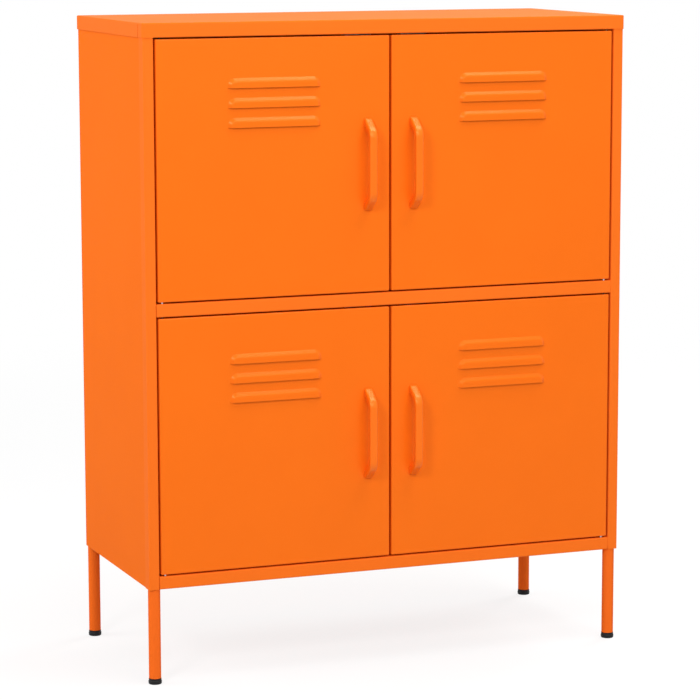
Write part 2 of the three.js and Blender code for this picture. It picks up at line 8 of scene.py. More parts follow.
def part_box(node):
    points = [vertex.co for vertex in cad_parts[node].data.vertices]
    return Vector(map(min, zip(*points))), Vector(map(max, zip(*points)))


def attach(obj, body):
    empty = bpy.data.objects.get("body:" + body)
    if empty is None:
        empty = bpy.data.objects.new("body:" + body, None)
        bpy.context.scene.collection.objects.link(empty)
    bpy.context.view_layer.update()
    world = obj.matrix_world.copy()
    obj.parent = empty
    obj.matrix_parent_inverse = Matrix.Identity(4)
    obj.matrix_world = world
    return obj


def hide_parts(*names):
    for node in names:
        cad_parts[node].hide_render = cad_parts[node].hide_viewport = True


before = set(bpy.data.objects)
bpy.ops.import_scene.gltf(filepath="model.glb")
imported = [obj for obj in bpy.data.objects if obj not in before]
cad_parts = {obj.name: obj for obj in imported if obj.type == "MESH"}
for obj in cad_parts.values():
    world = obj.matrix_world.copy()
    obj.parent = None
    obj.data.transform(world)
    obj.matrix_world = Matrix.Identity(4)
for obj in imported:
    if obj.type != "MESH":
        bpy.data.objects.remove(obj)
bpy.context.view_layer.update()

# Camera: it stands to the left of the cabinet and a little above it, and looks slightly down with
# a long lens. The focal length is for a square picture 700 pixels wide.
CAMERA_PLACE = Vector((-1.6950, -4.3110, 1.1843))
CAMERA_TURN = -0.3736
CAMERA_DIP = 0.1514
CAMERA_ROLL = -0.0019
SENSOR_MM = 36
FOCAL_PIXELS = 2899.7
PICTURE_PIXELS = 700

camera_data = bpy.data.cameras.new("camera")
camera_data.sensor_width = SENSOR_MM
camera_data.lens = FOCAL_PIXELS / PICTURE_PIXELS * SENSOR_MM
camera = bpy.data.objects.new("camera", camera_data)
bpy.context.scene.collection.objects.link(camera)
bpy.context.scene.camera = camera
level_right = Vector((math.cos(CAMERA_TURN), math.sin(CAMERA_TURN), 0))
level_ahead = Vector((-math.sin(CAMERA_TURN), math.cos(CAMERA_TURN), 0))
ahead = level_ahead * math.cos(CAMERA_DIP) - Vector((0, 0, math.sin(CAMERA_DIP)))
level_up = level_right.cross(ahead)
right = level_right * math.cos(CAMERA_ROLL) + level_up * math.sin(CAMERA_ROLL)
up = level_up * math.cos(CAMERA_ROLL) - level_right * math.sin(CAMERA_ROLL)
turned_to_scene = Matrix((right, up, -ahead)).transposed().to_4x4()
camera.matrix_world = Matrix.Translation(CAMERA_PLACE) @ turned_to_scene

# Studio: a white floor that runs on to a white surround, a large soft lamp high in front, smaller
# ones on the front left and overhead, one beside the left side panel and one behind for the back.
FLOOR_REACH = 60.0
SURROUND_LIGHT = 0.40
FLOOR_SEEN = 0.95
FLOOR_BOUNCE = 0.52
FLOOR_GLOW = {"near": (0.9, 0.80), "far": (3.5, 1.0)}
LAMPS = {
    "key": {"place": (0.0, -3.0, 2.2), "size": 2.0, "power": 43},
    "front left": {"place": (-2.2, -2.2, 2.2), "size": 0.6, "power": 31},
    "overhead": {"place": (0.72, -0.7, 3.1), "size": 1.4, "power": 36},
    "left": {"place": (-2.3, 0.55, 1.5), "size": 1.4, "power": 24.5},
    "behind": {"place": (2.9, 1.7, 2.4), "size": 1.6, "power": 70},
}
LAMPS_AIM = Vector((0, 0, 0.5))


def background_rays(nodes, links):
    """A value that is 1 for what is seen straight on, mirrored or through something clear."""
    rays = nodes.new("ShaderNodeLightPath")
    value = rays.outputs["Is Camera Ray"]
    for kind in ("Is Glossy Ray", "Is Transmission Ray"):
        larger = nodes.new("ShaderNodeMath")
        larger.operation = "MAXIMUM"
        links.new(value, larger.inputs[0])
        links.new(rays.outputs[kind], larger.inputs[1])
        value = larger.outputs[0]
    return value


bpy.context.scene.view_settings.view_transform = "Standard"
world = bpy.data.worlds.new("surround")
bpy.context.scene.world = world
world.use_nodes = True
nodes, links = world.node_tree.nodes, world.node_tree.links
nodes.clear()
seen = nodes.new("ShaderNodeBackground")
seen.inputs["Color"].default_value = (1, 1, 1, 1)
seen.inputs["Strength"].default_value = 1.0
lighting = nodes.new("ShaderNodeBackground")
lighting.inputs["Color"].default_value = (1, 1, 1, 1)
lighting.inputs["Strength"].default_value = SURROUND_LIGHT
choose = nodes.new("ShaderNodeMixShader")
output = nodes.new("ShaderNodeOutputWorld")
links.new(background_rays(nodes, links), choose.inputs[0])
links.new(lighting.outputs[0], choose.inputs[1])
links.new(seen.outputs[0], choose.inputs[2])
links.new(choose.outputs[0], output.inputs["Surface"])

floor_mesh = bpy.data.meshes.new("floor")
floor_mesh.from_pydata(
    [(-FLOOR_REACH, -FLOOR_REACH, 0), (FLOOR_REACH, -FLOOR_REACH, 0),
     (FLOOR_REACH, FLOOR_REACH, 0), (-FLOOR_REACH, FLOOR_REACH, 0)], [], [(0, 1, 2, 3)])
floor = bpy.data.objects.new("floor", floor_mesh)
bpy.context.scene.collection.objects.link(floor)
floor_white = bpy.data.materials.new("floor_white")
floor_white.use_nodes = True
nodes, links = floor_white.node_tree.nodes, floor_white.node_tree.links
nodes.clear()
bounce = nodes.new("ShaderNodeBsdfDiffuse")
bounce.inputs["Color"].default_value = (FLOOR_BOUNCE, FLOOR_BOUNCE, FLOOR_BOUNCE, 1)
matt = nodes.new("ShaderNodeBsdfDiffuse")
matt.inputs["Color"].default_value = (FLOOR_SEEN, FLOOR_SEEN, FLOOR_SEEN, 1)
glow = nodes.new("ShaderNodeEmission")
glow.inputs["Color"].default_value = (1, 1, 1, 1)
glow.inputs["Strength"].default_value = 1.0
white = nodes.new("ShaderNodeMixShader")
place = nodes.new("ShaderNodeTexCoord")
distance = nodes.new("ShaderNodeVectorMath")
distance.operation = "LENGTH"
whiter = nodes.new("ShaderNodeMapRange")
whiter.interpolation_type = "SMOOTHSTEP"
whiter.inputs["From Min"].default_value, whiter.inputs["To Min"].default_value = FLOOR_GLOW["near"]
whiter.inputs["From Max"].default_value, whiter.inputs["To Max"].default_value = FLOOR_GLOW["far"]
links.new(place.outputs["Object"], distance.inputs[0])
links.new(distance.outputs["Value"], whiter.inputs["Value"])
links.new(whiter.outputs["Result"], white.inputs[0])
choose = nodes.new("ShaderNodeMixShader")
output = nodes.new("ShaderNodeOutputMaterial")
links.new(matt.outputs[0], white.inputs[1])
links.new(glow.outputs[0], white.inputs[2])
links.new(background_rays(nodes, links), choose.inputs[0])
links.new(bounce.outputs[0], choose.inputs[1])
links.new(white.outputs[0], choose.inputs[2])
links.new(choose.outputs[0], output.inputs["Surface"])
floor_mesh.materials.append(floor_white)

for lamp_name, lamp in LAMPS.items():
    lamp_data = bpy.data.lights.new(lamp_name, "AREA")
    lamp_data.shape = "SQUARE"
    lamp_data.size = lamp["size"]
    lamp_data.energy = lamp["power"]
    lamp_object = bpy.data.objects.new(lamp_name, lamp_data)
    bpy.context.scene.collection.objects.link(lamp_object)
    lamp_object.location = lamp["place"]
    towards = LAMPS_AIM - lamp_object.location
    lamp_object.rotation_euler = towards.to_track_quat("-Z", "Y").to_euler()

# Front uprights: one strip of 0.8 mm steel down each front corner. It wraps 20 mm round the side,
# shows as the stile beside the doors and turns in behind it as a post with slots for shelf clips.
SHEET = 0.0008
BEND = 0.0018
BEND_STEPS = 6
EASE = 0.0003
UPRIGHT_WRAP = 0.020
SLOT_WIDTH = 0.0032
SLOT_HEIGHT = 0.010
SLOT_PITCH = 0.060
SLOTS_IN_A_ROW = 3
SLOT_FROM_FLANGE_END = 0.010
SLOT_CUT_DEPTH = SHEET * 5
BODY_ORANGE = (0.945, 0.178, 0.0160, 1)
SIDE_SIGNS = {"left": -1, "right": 1}


def powder_coat(name, colour, roughness, gloss=0.02, gloss_tint=(1, 1, 1, 1), peel=0.10):
    """Satin powder paint: an even colour, faintly cloudy, with a fine orange-peel surface."""
    material = bpy.data.materials.new(name)
    material.use_nodes = True
    nodes, links = material.node_tree.nodes, material.node_tree.links
    shader = nodes["Principled BSDF"]
    shader.inputs["Roughness"].default_value = roughness
    shader.inputs["Specular IOR Level"].default_value = gloss
    shader.inputs["Specular Tint"].default_value = gloss_tint
    place = nodes.new("ShaderNodeTexCoord")
    cloud = nodes.new("ShaderNodeTexNoise")
    cloud.inputs["Scale"].default_value = 9.0
    cloud.inputs["Detail"].default_value = 2.0
    tones = nodes.new("ShaderNodeValToRGB")
    tones.color_ramp.elements[0].position = 0.3
    tones.color_ramp.elements[1].position = 0.7
    tones.color_ramp.elements[0].color = (colour[0] * 0.985, colour[1] * 0.97, colour[2] * 0.95, 1)
    tones.color_ramp.elements[1].color = colour
    grain = nodes.new("ShaderNodeTexNoise")
    grain.inputs["Scale"].default_value = 700.0
    grain.inputs["Detail"].default_value = 1.5
    relief = nodes.new("ShaderNodeBump")
    relief.inputs["Strength"].default_value = peel
    relief.inputs["Distance"].default_value = 0.0002
    links.new(place.outputs["Object"], cloud.inputs["Vector"])
    links.new(cloud.outputs["Fac"], tones.inputs["Fac"])
    links.new(tones.outputs["Color"], shader.inputs["Base Color"])
    links.new(place.outputs["Object"], grain.inputs["Vector"])
    links.new(grain.outputs["Fac"], relief.inputs["Height"])
    links.new(relief.outputs["Normal"], shader.inputs["Normal"])
    return material


def bent(corners, radius, steps):
    """A line through corner points, with a round bend at each and a short lead beside the bend."""
    line = [corners[0]]
    for before, corner, after in zip(corners, corners[1:], corners[2:]):
        back, on = (before - corner).normalized(), (after - corner).normalized()
        half = math.acos(max(-1, min(1, back.dot(on)))) / 2
        reach = radius / math.tan(half)
        centre = corner + (back + on).normalized() * (radius / math.sin(half))
        turn = math.pi - 2 * half
        start = corner + back * reach - centre
        way = -1 if back.cross(on) > 0 else 1
        line.append(corner + back * (reach + EASE))
        for k in range(steps + 1):
            angle = way * turn * k / steps
            line.append(centre + Vector((
                start.x * math.cos(angle) - start.y * math.sin(angle),
                start.x * math.sin(angle) + start.y * math.cos(angle))))
        line.append(corner + on * (reach + EASE))
    line.append(corners[-1])
    return line


def object_from(name, bm, material):
    """A Blender object at the origin from a bmesh."""
    mesh = bpy.data.meshes.new(name)
    bm.to_mesh(mesh)
    bm.free()
    piece = bpy.data.objects.new(name, mesh)
    bpy.context.scene.collection.objects.link(piece)
    if material:
        mesh.materials.append(material)
    return piece


def folded_strip(name, corners, bottom, top, material):
    """A strip of sheet, folded along upright lines, from its middle line in plan."""
    line = bent([Vector(c) for c in corners], BEND - SHEET / 2, BEND_STEPS)
    bm = bmesh.new()
    edges = []
    for i, point in enumerate(line):
        along = (line[min(i + 1, len(line) - 1)] - line[max(i - 1, 0)]).normalized()
        across = Vector((-along.y, along.x)) * SHEET / 2
        a, b = point + across, point - across
        edges.append([bm.verts.new((p.x, p.y, z)) for p in (a, b) for z in (bottom, top)])
    for here, there in zip(edges, edges[1:]):
        bm.faces.new((here[0], here[1], there[1], there[0]))
        bm.faces.new((here[3], here[2], there[2], there[3]))
        bm.faces.new((here[1], here[3], there[3], there[1]))
        bm.faces.new((here[2], here[0], there[0], there[2]))
    bm.faces.new((edges[0][0], edges[0][2], edges[0][3], edges[0][1]))
    bm.faces.new((edges[-1][1], edges[-1][3], edges[-1][2], edges[-1][0]))
    bmesh.ops.recalc_face_normals(bm, faces=bm.faces)
    return object_from(name, bm, material)


def plain(piece, crease=35):
    """The piece as a plain mesh without modifiers, smooth but for its sharp edges."""
    bpy.context.view_layer.update()
    evaluated = piece.evaluated_get(bpy.context.evaluated_depsgraph_get())
    mesh = bpy.data.meshes.new_from_object(evaluated)
    if mesh.materials and mesh.polygons:
        finish = mesh.materials[mesh.polygons[0].material_index]
        mesh.materials.clear()
        mesh.materials.append(finish)
    piece.modifiers.clear()
    piece.data = mesh
    mesh.shade_smooth()
    mesh.set_sharp_from_angle(angle=math.radians(crease))
    return piece


def cut(piece, cutter):
    """Cuts one piece with another, which is used up."""
    boolean = piece.modifiers.new("cut", "BOOLEAN")
    boolean.operation = "DIFFERENCE"
    boolean.solver = "EXACT"
    boolean.object = cutter
    plain(piece)
    bpy.data.objects.remove(cutter)
    return piece


def new_tree(name, inputs):
    """An empty geometry tree with named inputs, and its group input and output nodes."""
    tree = bpy.data.node_groups.new(name, "GeometryNodeTree")
    tree.interface.new_socket(name="Geometry", in_out="INPUT", socket_type="NodeSocketGeometry")
    for label, kind in inputs.items():
        tree.interface.new_socket(name=label, in_out="INPUT", socket_type="NodeSocket" + kind)
    tree.interface.new_socket(name="Geometry", in_out="OUTPUT", socket_type="NodeSocketGeometry")
    return tree, tree.nodes.new("NodeGroupInput"), tree.nodes.new("NodeGroupOutput")


def use_tree(piece, tree, **values):
    """Adds the tree to the piece as a modifier, with its named inputs."""
    modifier = piece.modifiers.new(tree.name, "NODES")
    modifier.node_group = tree
    for item in tree.interface.items_tree:
        if item.in_out == "INPUT" and item.name.replace(" ", "_").lower() in values:
            modifier[item.identifier] = values[item.name.replace(" ", "_").lower()]
    return piece


def slot_tree():
    """Blocks the size of a slot, in equal steps up from each vertex, to cut the slots with."""
    tree, given, result = new_tree("shelf clip slots", {
        "Slots": "Int", "Pitch": "Float", "Width": "Float", "Height": "Float"})
    nodes, links = tree.nodes, tree.links
    step = nodes.new("ShaderNodeCombineXYZ")
    size = nodes.new("ShaderNodeCombineXYZ")
    size.inputs["X"].default_value = SLOT_CUT_DEPTH
    ladder = nodes.new("GeometryNodeMeshLine")
    block = nodes.new("GeometryNodeMeshCube")
    per_start = nodes.new("GeometryNodeInstanceOnPoints")
    per_level = nodes.new("GeometryNodeInstanceOnPoints")
    real = nodes.new("GeometryNodeRealizeInstances")
    links.new(given.outputs["Pitch"], step.inputs["Z"])
    links.new(given.outputs["Width"], size.inputs["Y"])
    links.new(given.outputs["Height"], size.inputs["Z"])
    links.new(given.outputs["Slots"], ladder.inputs["Count"])
    links.new(step.outputs[0], ladder.inputs["Offset"])
    links.new(size.outputs[0], block.inputs["Size"])
    links.new(ladder.outputs[0], per_level.inputs["Points"])
    links.new(block.outputs[0], per_level.inputs["Instance"])
    links.new(given.outputs["Geometry"], per_start.inputs["Points"])
    links.new(per_level.outputs[0], per_start.inputs["Instance"])
    links.new(per_start.outputs[0], real.inputs[0])
    links.new(real.outputs[0], result.inputs[0])
    return tree


slots_on_points = slot_tree()
body_paint = powder_coat("body_powder_coat", BODY_ORANGE, 0.50)
low_shelf, high_shelf = (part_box("shelf_clip_front_" + row + "_left") for row in ("lower", "upper"))
slot_middles = [(low.z + high.z) / 2 for low, high in (low_shelf, high_shelf)]


def slotted(piece, x, y):
    """The piece with its slots for shelf clips cut, in rows at the level of each loose shelf."""
    starts = bmesh.new()
    for middle in slot_middles:
        starts.verts.new((x, y, middle - SLOT_PITCH * (SLOTS_IN_A_ROW - 1) / 2))
    cutter = use_tree(object_from("slots", starts, None), slots_on_points,
                      slots=SLOTS_IN_A_ROW, pitch=SLOT_PITCH, width=SLOT_WIDTH,
                      height=SLOT_HEIGHT)
    return cut(piece, plain(cutter))


for side_name, side in SIDE_SIGNS.items():
    low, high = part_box("front_upright_" + side_name)
    far, near = max(abs(low.x), abs(high.x)), min(abs(low.x), abs(high.x))
    upright = folded_strip("upright_" + side_name, [
        (side * (far - SHEET / 2), low.y + UPRIGHT_WRAP),
        (side * (far - SHEET / 2), low.y + SHEET / 2),
        (side * (near + SHEET / 2), low.y + SHEET / 2),
        (side * (near + SHEET / 2), high.y),
    ], low.z, high.z, body_paint)
    slotted(upright, side * (near + SHEET / 2), high.y - SLOT_FROM_FLANGE_END)
    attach(upright, "cabinet")
    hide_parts("front_upright_" + side_name)

# Side panels: flat 0.8 mm sheets behind the uprights' wrap. Their rear edges fold in along the
# inside of the back panel and forward again as the rear posts.
POST_FLANGE = 0.040
SIDE_ORANGE = (0.945, 0.172, 0.0080, 1)
side_paint = powder_coat("side_powder_coat", SIDE_ORANGE, 0.50, 0.012)

for side_name, side in SIDE_SIGNS.items():
    low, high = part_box("side_panel_" + side_name)
    flange_end = high.y - POST_FLANGE
    far, near = max(abs(low.x), abs(high.x)), min(abs(low.x), abs(high.x))
    panel = folded_strip("side_panel_sheet_" + side_name, [
        (side * (far - SHEET / 2), low.y),
        (side * (far - SHEET / 2), high.y - SHEET / 2),
        (side * (near + SHEET / 2), high.y - SHEET / 2),
        (side * (near + SHEET / 2), flange_end),
    ], low.z, high.z, side_paint)
    slotted(panel, side * (near + SHEET / 2), flange_end + SLOT_FROM_FLANGE_END)
    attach(panel, "cabinet")
    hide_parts("side_panel_" + side_name)

# Bottom panel and middle shelf: sheets folded down on every side. Their front folds show as the
# rails under the doors. They fit between the posts and reach past them to the side panels.
SEAT = 0.0003
SIDE_RETURN = 0.014
SHELF_FRONT_RETURN = 0.040
PIN_HOLE_RADIUS = 0.0023
TRAY_DRILL = 0.030
ROWS = ("lower", "upper")
DOOR_NAMES = [row + "_" + side_name for row in ROWS for side_name in SIDE_SIGNS]


def corner_column(x, y, out_x, out_y):
    """A sharp corner of an outline, with the outward direction of its two edges."""
    return (x, y, 0, 0, out_x, out_y)


def at_inset(column, radius, inset):
    """Where a column of points stands when the outline is shrunk."""
    x, y, round_x, round_y, out_x, out_y = column
    if inset < radius:
        return x + round_x * (radius - inset), y + round_y * (radius - inset)
    return x - out_x * (inset - radius), y - out_y * (inset - radius)


def fold_over():
    """Steps of inset and depth over the fold from a face to a wall."""
    turn = [k * math.pi / 2 / BEND_STEPS for k in range(BEND_STEPS + 1)]
    bend = [(BEND * (1 - math.sin(a)), BEND * (1 - math.cos(a))) for a in turn]
    return [(BEND + EASE, 0)] + bend + [(0, BEND + EASE)]


def fold_under(depth):
    """Steps of inset and depth over the fold from a wall to its return."""
    return [(inset, depth - fall) for inset, fall in reversed(fold_over())]


def pan_skin(columns, radius, stations, top, with_face=True):
    """The outer skin of a folded sheet that faces up, as rings from its face to its free edge."""
    bm = bmesh.new()
    rings = [[bm.verts.new((*at_inset(column, radius, inset), top - depth)) for column in columns]
             for inset, depth in stations]
    for inner, outer in zip(rings, rings[1:]):
        for i in range(len(columns)):
            j = (i + 1) % len(columns)
            bm.faces.new((inner[i], outer[i], outer[j], inner[j]))
    if with_face:
        bm.faces.new(rings[0])
    return bm, rings


def thickened(piece):
    """The piece with the thickness of its sheet behind its skin."""
    sheet = piece.modifiers.new("sheet", "SOLIDIFY")
    sheet.thickness = SHEET
    sheet.offset = -1
    sheet.use_even_offset = True
    return plain(piece)


def drilled(piece, places, radius, axis, length):
    """The piece with round holes at the given places."""
    bm = bmesh.new()
    turn = Matrix.Rotation(math.pi / 2, 4, "X") if axis == "Y" else Matrix.Identity(4)
    for place in places:
        bmesh.ops.create_cone(bm, cap_ends=True, segments=32, radius1=radius, radius2=radius,
                              depth=length, matrix=Matrix.Translation(place) @ turn)
    return cut(piece, object_from("drill", bm, None))


def folded_tray(name, columns, low, high, front_return, material):
    """A shelf of folded sheet, open underneath inside its returns."""
    depth = high.z - low.z
    bm, rings = pan_skin(columns, 0, fold_over() + fold_under(depth), high.z)
    half = min(abs(column[0]) for column in columns) - SIDE_RETURN
    window = [bm.verts.new((x, y, low.z)) for x, y in (
        (-half, low.y + front_return), (half, low.y + front_return),
        (half, high.y - SIDE_RETURN), (-half, high.y - SIDE_RETURN))]
    rim = [bm.edges.new((loop[i], loop[(i + 1) % len(loop)])) if loop is window
           else bm.edges.get((loop[i], loop[(i + 1) % len(loop)]))
           for loop in (window, rings[-1]) for i in range(len(loop))]
    filled = bmesh.ops.triangle_fill(bm, use_beauty=True, edges=rim)["geom"]
    for face in filled:
        if isinstance(face, bmesh.types.BMFace) and face.normal.z > 0:
            face.normal_flip()
    return thickened(object_from(name, bm, material))


pin_spots = {}
for which in DOOR_NAMES:
    low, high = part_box("pin_bottom_" + which)
    pin_spots[which] = Vector(((low.x + high.x) / 2, (low.y + high.y) / 2, 0))

post_low, post_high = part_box("front_upright_right")
rear_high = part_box("side_panel_right")[1]
for node, name, front_return in (
        ("bottom_panel", "bottom_panel_sheet", SIDE_RETURN),
        ("middle_shelf", "middle_shelf_sheet", SHELF_FRONT_RETURN)):
    low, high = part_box(node)
    wide = high.x
    narrow = post_low.x - SEAT
    wing_front = post_high.y + SEAT
    wing_back = rear_high.y - POST_FLANGE - SEAT
    columns = [
        corner_column(-narrow, low.y, -1, -1), corner_column(narrow, low.y, 1, -1),
        corner_column(narrow, wing_front, 1, -1), corner_column(wide, wing_front, 1, -1),
        corner_column(wide, wing_back, 1, 1), corner_column(narrow, wing_back, 1, 1),
        corner_column(narrow, high.y, 1, 1), corner_column(-narrow, high.y, -1, 1),
        corner_column(-narrow, wing_back, -1, 1), corner_column(-wide, wing_back, -1, 1),
        corner_column(-wide, wing_front, -1, -1), corner_column(-narrow, wing_front, -1, -1),
    ]
    tray = folded_tray(name, columns, low, high, front_return, body_paint)
    middle = (low.z + high.z) / 2
    drilled(tray, [pin_spots["lower_" + s] + Vector((0, 0, middle)) for s in SIDE_SIGNS],
            PIN_HOLE_RADIUS, "Z", TRAY_DRILL)
    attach(tray, "cabinet")
    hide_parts(node)

# Back panel: a flat sheet behind the posts and shelves, held by rows of low pan-head screws in the
# posts, the bottom panel and the middle shelf. Its top edge sits inside the top panel's rear lip.
BACK_SCREW_RADIUS = 0.0036
BACK_SCREW_HEAD = 0.0011
BACK_SCREW_SPACING = 0.130
BACK_SCREW_FROM_SIDE = 0.0075
BACK_SCREW_FROM_TOP = 0.045
BACK_ROW_HALF = 0.26
BACK_SCREW_SIDES = 20
RECESS_LENGTH = 0.0044
RECESS_WIDTH = 0.0009
RECESS_DEPTH = 0.0007


def plated_steel(name, roughness, tone=(0.62, 0.64, 0.66, 1)):
    """Plated steel, or steel made near black as painted shade, a little cloudy, with fine marks from
    the plating drum.
    """
    material = bpy.data.materials.new(name)
    material.use_nodes = True
    nodes, links = material.node_tree.nodes, material.node_tree.links
    shader = nodes["Principled BSDF"]
    shader.inputs["Base Color"].default_value = tone
    shader.inputs["Metallic"].default_value = 1.0
    place = nodes.new("ShaderNodeTexCoord")
    cloud = nodes.new("ShaderNodeTexNoise")
    cloud.inputs["Scale"].default_value = 260.0
    cloud.inputs["Detail"].default_value = 3.0
    spread = nodes.new("ShaderNodeMapRange")
    spread.inputs["To Min"].default_value = roughness - 0.08
    spread.inputs["To Max"].default_value = roughness + 0.08
    links.new(place.outputs["Object"], cloud.inputs["Vector"])
    links.new(cloud.outputs["Fac"], spread.inputs["Value"])
    links.new(spread.outputs["Result"], shader.inputs["Roughness"])
    return material


def turned(name, profile, segments, material):
    """A closed turned piece about Z, from its profile of radius and height, bottom to top."""
    bm = bmesh.new()
    rings = []
    for radius, height in profile:
        if radius == 0:
            rings.append([bm.verts.new((0, 0, height))])
        else:
            rings.append([bm.verts.new((radius * math.cos(2 * math.pi * k / segments),
                                        radius * math.sin(2 * math.pi * k / segments), height))
                          for k in range(segments)])
    for lower, upper in zip(rings, rings[1:]):
        for k in range(segments):
            m = (k + 1) % segments
            corners = [lower[k % len(lower)], lower[m % len(lower)],
                       upper[m % len(upper)], upper[k % len(upper)]]
            bm.faces.new(list(dict.fromkeys(corners)))
    bmesh.ops.recalc_face_normals(bm, faces=bm.faces)
    return plain(object_from(name, bm, material))


def crossed(piece, top):
    """The piece with a cross recess in its head, which faces up at that level."""
    arm, half = RECESS_LENGTH / 2, RECESS_WIDTH / 2
    outline = [
        (half, arm), (-half, arm), (-half, half), (-arm, half), (-arm, -half), (-half, -half),
        (-half, -arm), (half, -arm), (half, -half), (arm, -half), (arm, half), (half, half)]
    bm = bmesh.new()
    ends = [[bm.verts.new((x, y, z)) for x, y in outline]
            for z in (top - RECESS_DEPTH, top + RECESS_DEPTH)]
    bm.faces.new(reversed(ends[0]))
    bm.faces.new(ends[1])
    for i in range(len(outline)):
        j = (i + 1) % len(outline)
        bm.faces.new((ends[0][i], ends[0][j], ends[1][j], ends[1][i]))
    return cut(piece, object_from("recess", bm, None))


def row_tree():
    """Copies of a piece along lines, at an even spacing, turned to face the rear."""
    tree, given, result = new_tree("rows of screws", {
        "Screw": "Object", "Spacing": "Float", "Finish": "Material"})
    nodes, links = tree.nodes, tree.links
    line = nodes.new("GeometryNodeMeshToCurve")
    spaced = nodes.new("GeometryNodeResampleCurve")
    spaced.mode = "LENGTH"
    screw = nodes.new("GeometryNodeObjectInfo")
    copies = nodes.new("GeometryNodeInstanceOnPoints")
    copies.inputs["Rotation"].default_value = (-math.pi / 2, 0, 0)
    real = nodes.new("GeometryNodeRealizeInstances")
    finish = nodes.new("GeometryNodeSetMaterial")
    links.new(given.outputs["Geometry"], line.inputs["Mesh"])
    links.new(line.outputs[0], spaced.inputs["Curve"])
    links.new(given.outputs["Spacing"], spaced.inputs["Length"])
    links.new(given.outputs["Screw"], screw.inputs["Object"])
    links.new(spaced.outputs[0], copies.inputs["Points"])
    links.new(screw.outputs["Geometry"], copies.inputs["Instance"])
    links.new(copies.outputs[0], real.inputs[0])
    links.new(real.outputs[0], finish.inputs["Geometry"])
    links.new(given.outputs["Finish"], finish.inputs["Material"])
    links.new(finish.outputs[0], result.inputs[0])
    return tree


zinc = plated_steel("zinc_plate", 0.34)
back_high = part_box("back_panel")[1]
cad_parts["back_panel"].material_slots[0].material = side_paint
screw = crossed(turned("back_screw", [
    (0, -0.0006), (0.0030, -0.0006), (BACK_SCREW_RADIUS, 0), (BACK_SCREW_RADIUS, 0.0004),
    (0.0031, 0.0008), (0.0022, BACK_SCREW_HEAD), (0, BACK_SCREW_HEAD)],
    BACK_SCREW_SIDES, zinc), BACK_SCREW_HEAD)
rows = bmesh.new()
post_x, top_z = back_high.x - BACK_SCREW_FROM_SIDE, back_high.z - BACK_SCREW_FROM_TOP
bottom_z = sum(c.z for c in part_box("bottom_panel")) / 2
middle_z = sum(c.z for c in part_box("middle_shelf")) / 2
for a, b in (((-post_x, bottom_z), (-post_x, top_z)),
             ((post_x, bottom_z), (post_x, top_z)),
             ((-BACK_ROW_HALF, bottom_z), (BACK_ROW_HALF, bottom_z)),
             ((-BACK_ROW_HALF, middle_z), (BACK_ROW_HALF, middle_z))):
    rows.edges.new([rows.verts.new((x, back_high.y, z)) for x, z in (a, b)])
back_screws = plain(use_tree(object_from("back_panel_screws", rows, None), row_tree(),
                             screw=screw, spacing=BACK_SCREW_SPACING, finish=zinc))
bpy.data.objects.remove(screw)
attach(back_screws, "cabinet")

# Top panel: one sheet folded down 22 mm on every side over the body, its corners rounded. The
# front lip turns back under as a return for the upper pins, and a seam splits each side lip.
TOP_CORNER = 0.003
CORNER_STEPS = 6
LIP_OUT = 0.0012
LIP_SEAM = 0.0016
RETURN_HALF = 0.3820
SHEET_DRILL = 0.004

low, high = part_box("top_panel")
top_depth = high.z - low.z
centre_y = (low.y + high.y) / 2
half_x, half_y = high.x, (high.y - low.y) / 2
seam_front = low.y + LIP_OUT + UPRIGHT_WRAP


def rounded_corner(half_u, half_v, radius, sign_u, sign_v, middle_v=0.0):
    """The columns of one rounded corner, anticlockwise, with a short lead on either side."""
    centre = (sign_u * (half_u - radius), middle_v + sign_v * (half_v - radius))
    start = math.atan2(sign_v, sign_u) - math.pi / 4
    turn = [start + k * math.pi / 2 / CORNER_STEPS for k in range(CORNER_STEPS + 1)]
    columns = [(*centre, math.cos(a), math.sin(a), sign_u, sign_v) for a in turn]
    for first, a in ((True, turn[0]), (False, turn[-1])):
        along = Vector((math.sin(a), -math.cos(a))) * (EASE if first else -EASE)
        lead = (centre[0] + along.x, centre[1] + along.y, math.cos(a), math.sin(a), sign_u, sign_v)
        columns.insert(0 if first else len(columns), lead)
    return columns


def side_column(x, y):
    """A column on the straight right or left side of the top panel."""
    way = 1 if x > 0 else -1
    return (x - way * TOP_CORNER, y, way, 0, way, 0)


front_columns = [(x, centre_y - half_y + TOP_CORNER, 0, -1, 0, -1)
                 for x in (-RETURN_HALF, RETURN_HALF)]
columns = (
    front_columns
    + rounded_corner(half_x, half_y, TOP_CORNER, 1, -1, centre_y)
    + [side_column(half_x, seam_front), side_column(half_x, seam_front + LIP_SEAM)]
    + rounded_corner(half_x, half_y, TOP_CORNER, 1, 1, centre_y)
    + rounded_corner(half_x, half_y, TOP_CORNER, -1, 1, centre_y)
    + [side_column(-half_x, seam_front + LIP_SEAM), side_column(-half_x, seam_front)]
    + rounded_corner(half_x, half_y, TOP_CORNER, -1, -1, centre_y))
bend_start = top_depth - BEND
bm, rings = pan_skin(columns, TOP_CORNER,
                     fold_over() + [(0, bend_start - EASE), (0, bend_start)], high.z)
split_rings = rings[len(fold_over()) - 2:]
for here, there in zip(split_rings, split_rings[1:]):
    for i, column in enumerate(columns):
        j = (i + 1) % len(columns)
        if {round(column[1], 6), round(columns[j][1], 6)} == {
                round(seam_front, 6), round(seam_front + LIP_SEAM, 6)}:
            bm.faces.remove(bm.faces.get((here[i], there[i], there[j], here[j])))
lip_ends = {i: bm.verts.new((*at_inset(column, TOP_CORNER, 0), low.z))
            for i, column in enumerate(columns)}
for i in range(1, len(columns)):
    j = (i + 1) % len(columns)
    if {round(columns[i][1], 6), round(columns[j][1], 6)} != {
            round(seam_front, 6), round(seam_front + LIP_SEAM, 6)}:
        bm.faces.new((rings[-1][i], lip_ends[i], lip_ends[j], rings[-1][j]))
under = [rings[-1][:2]]
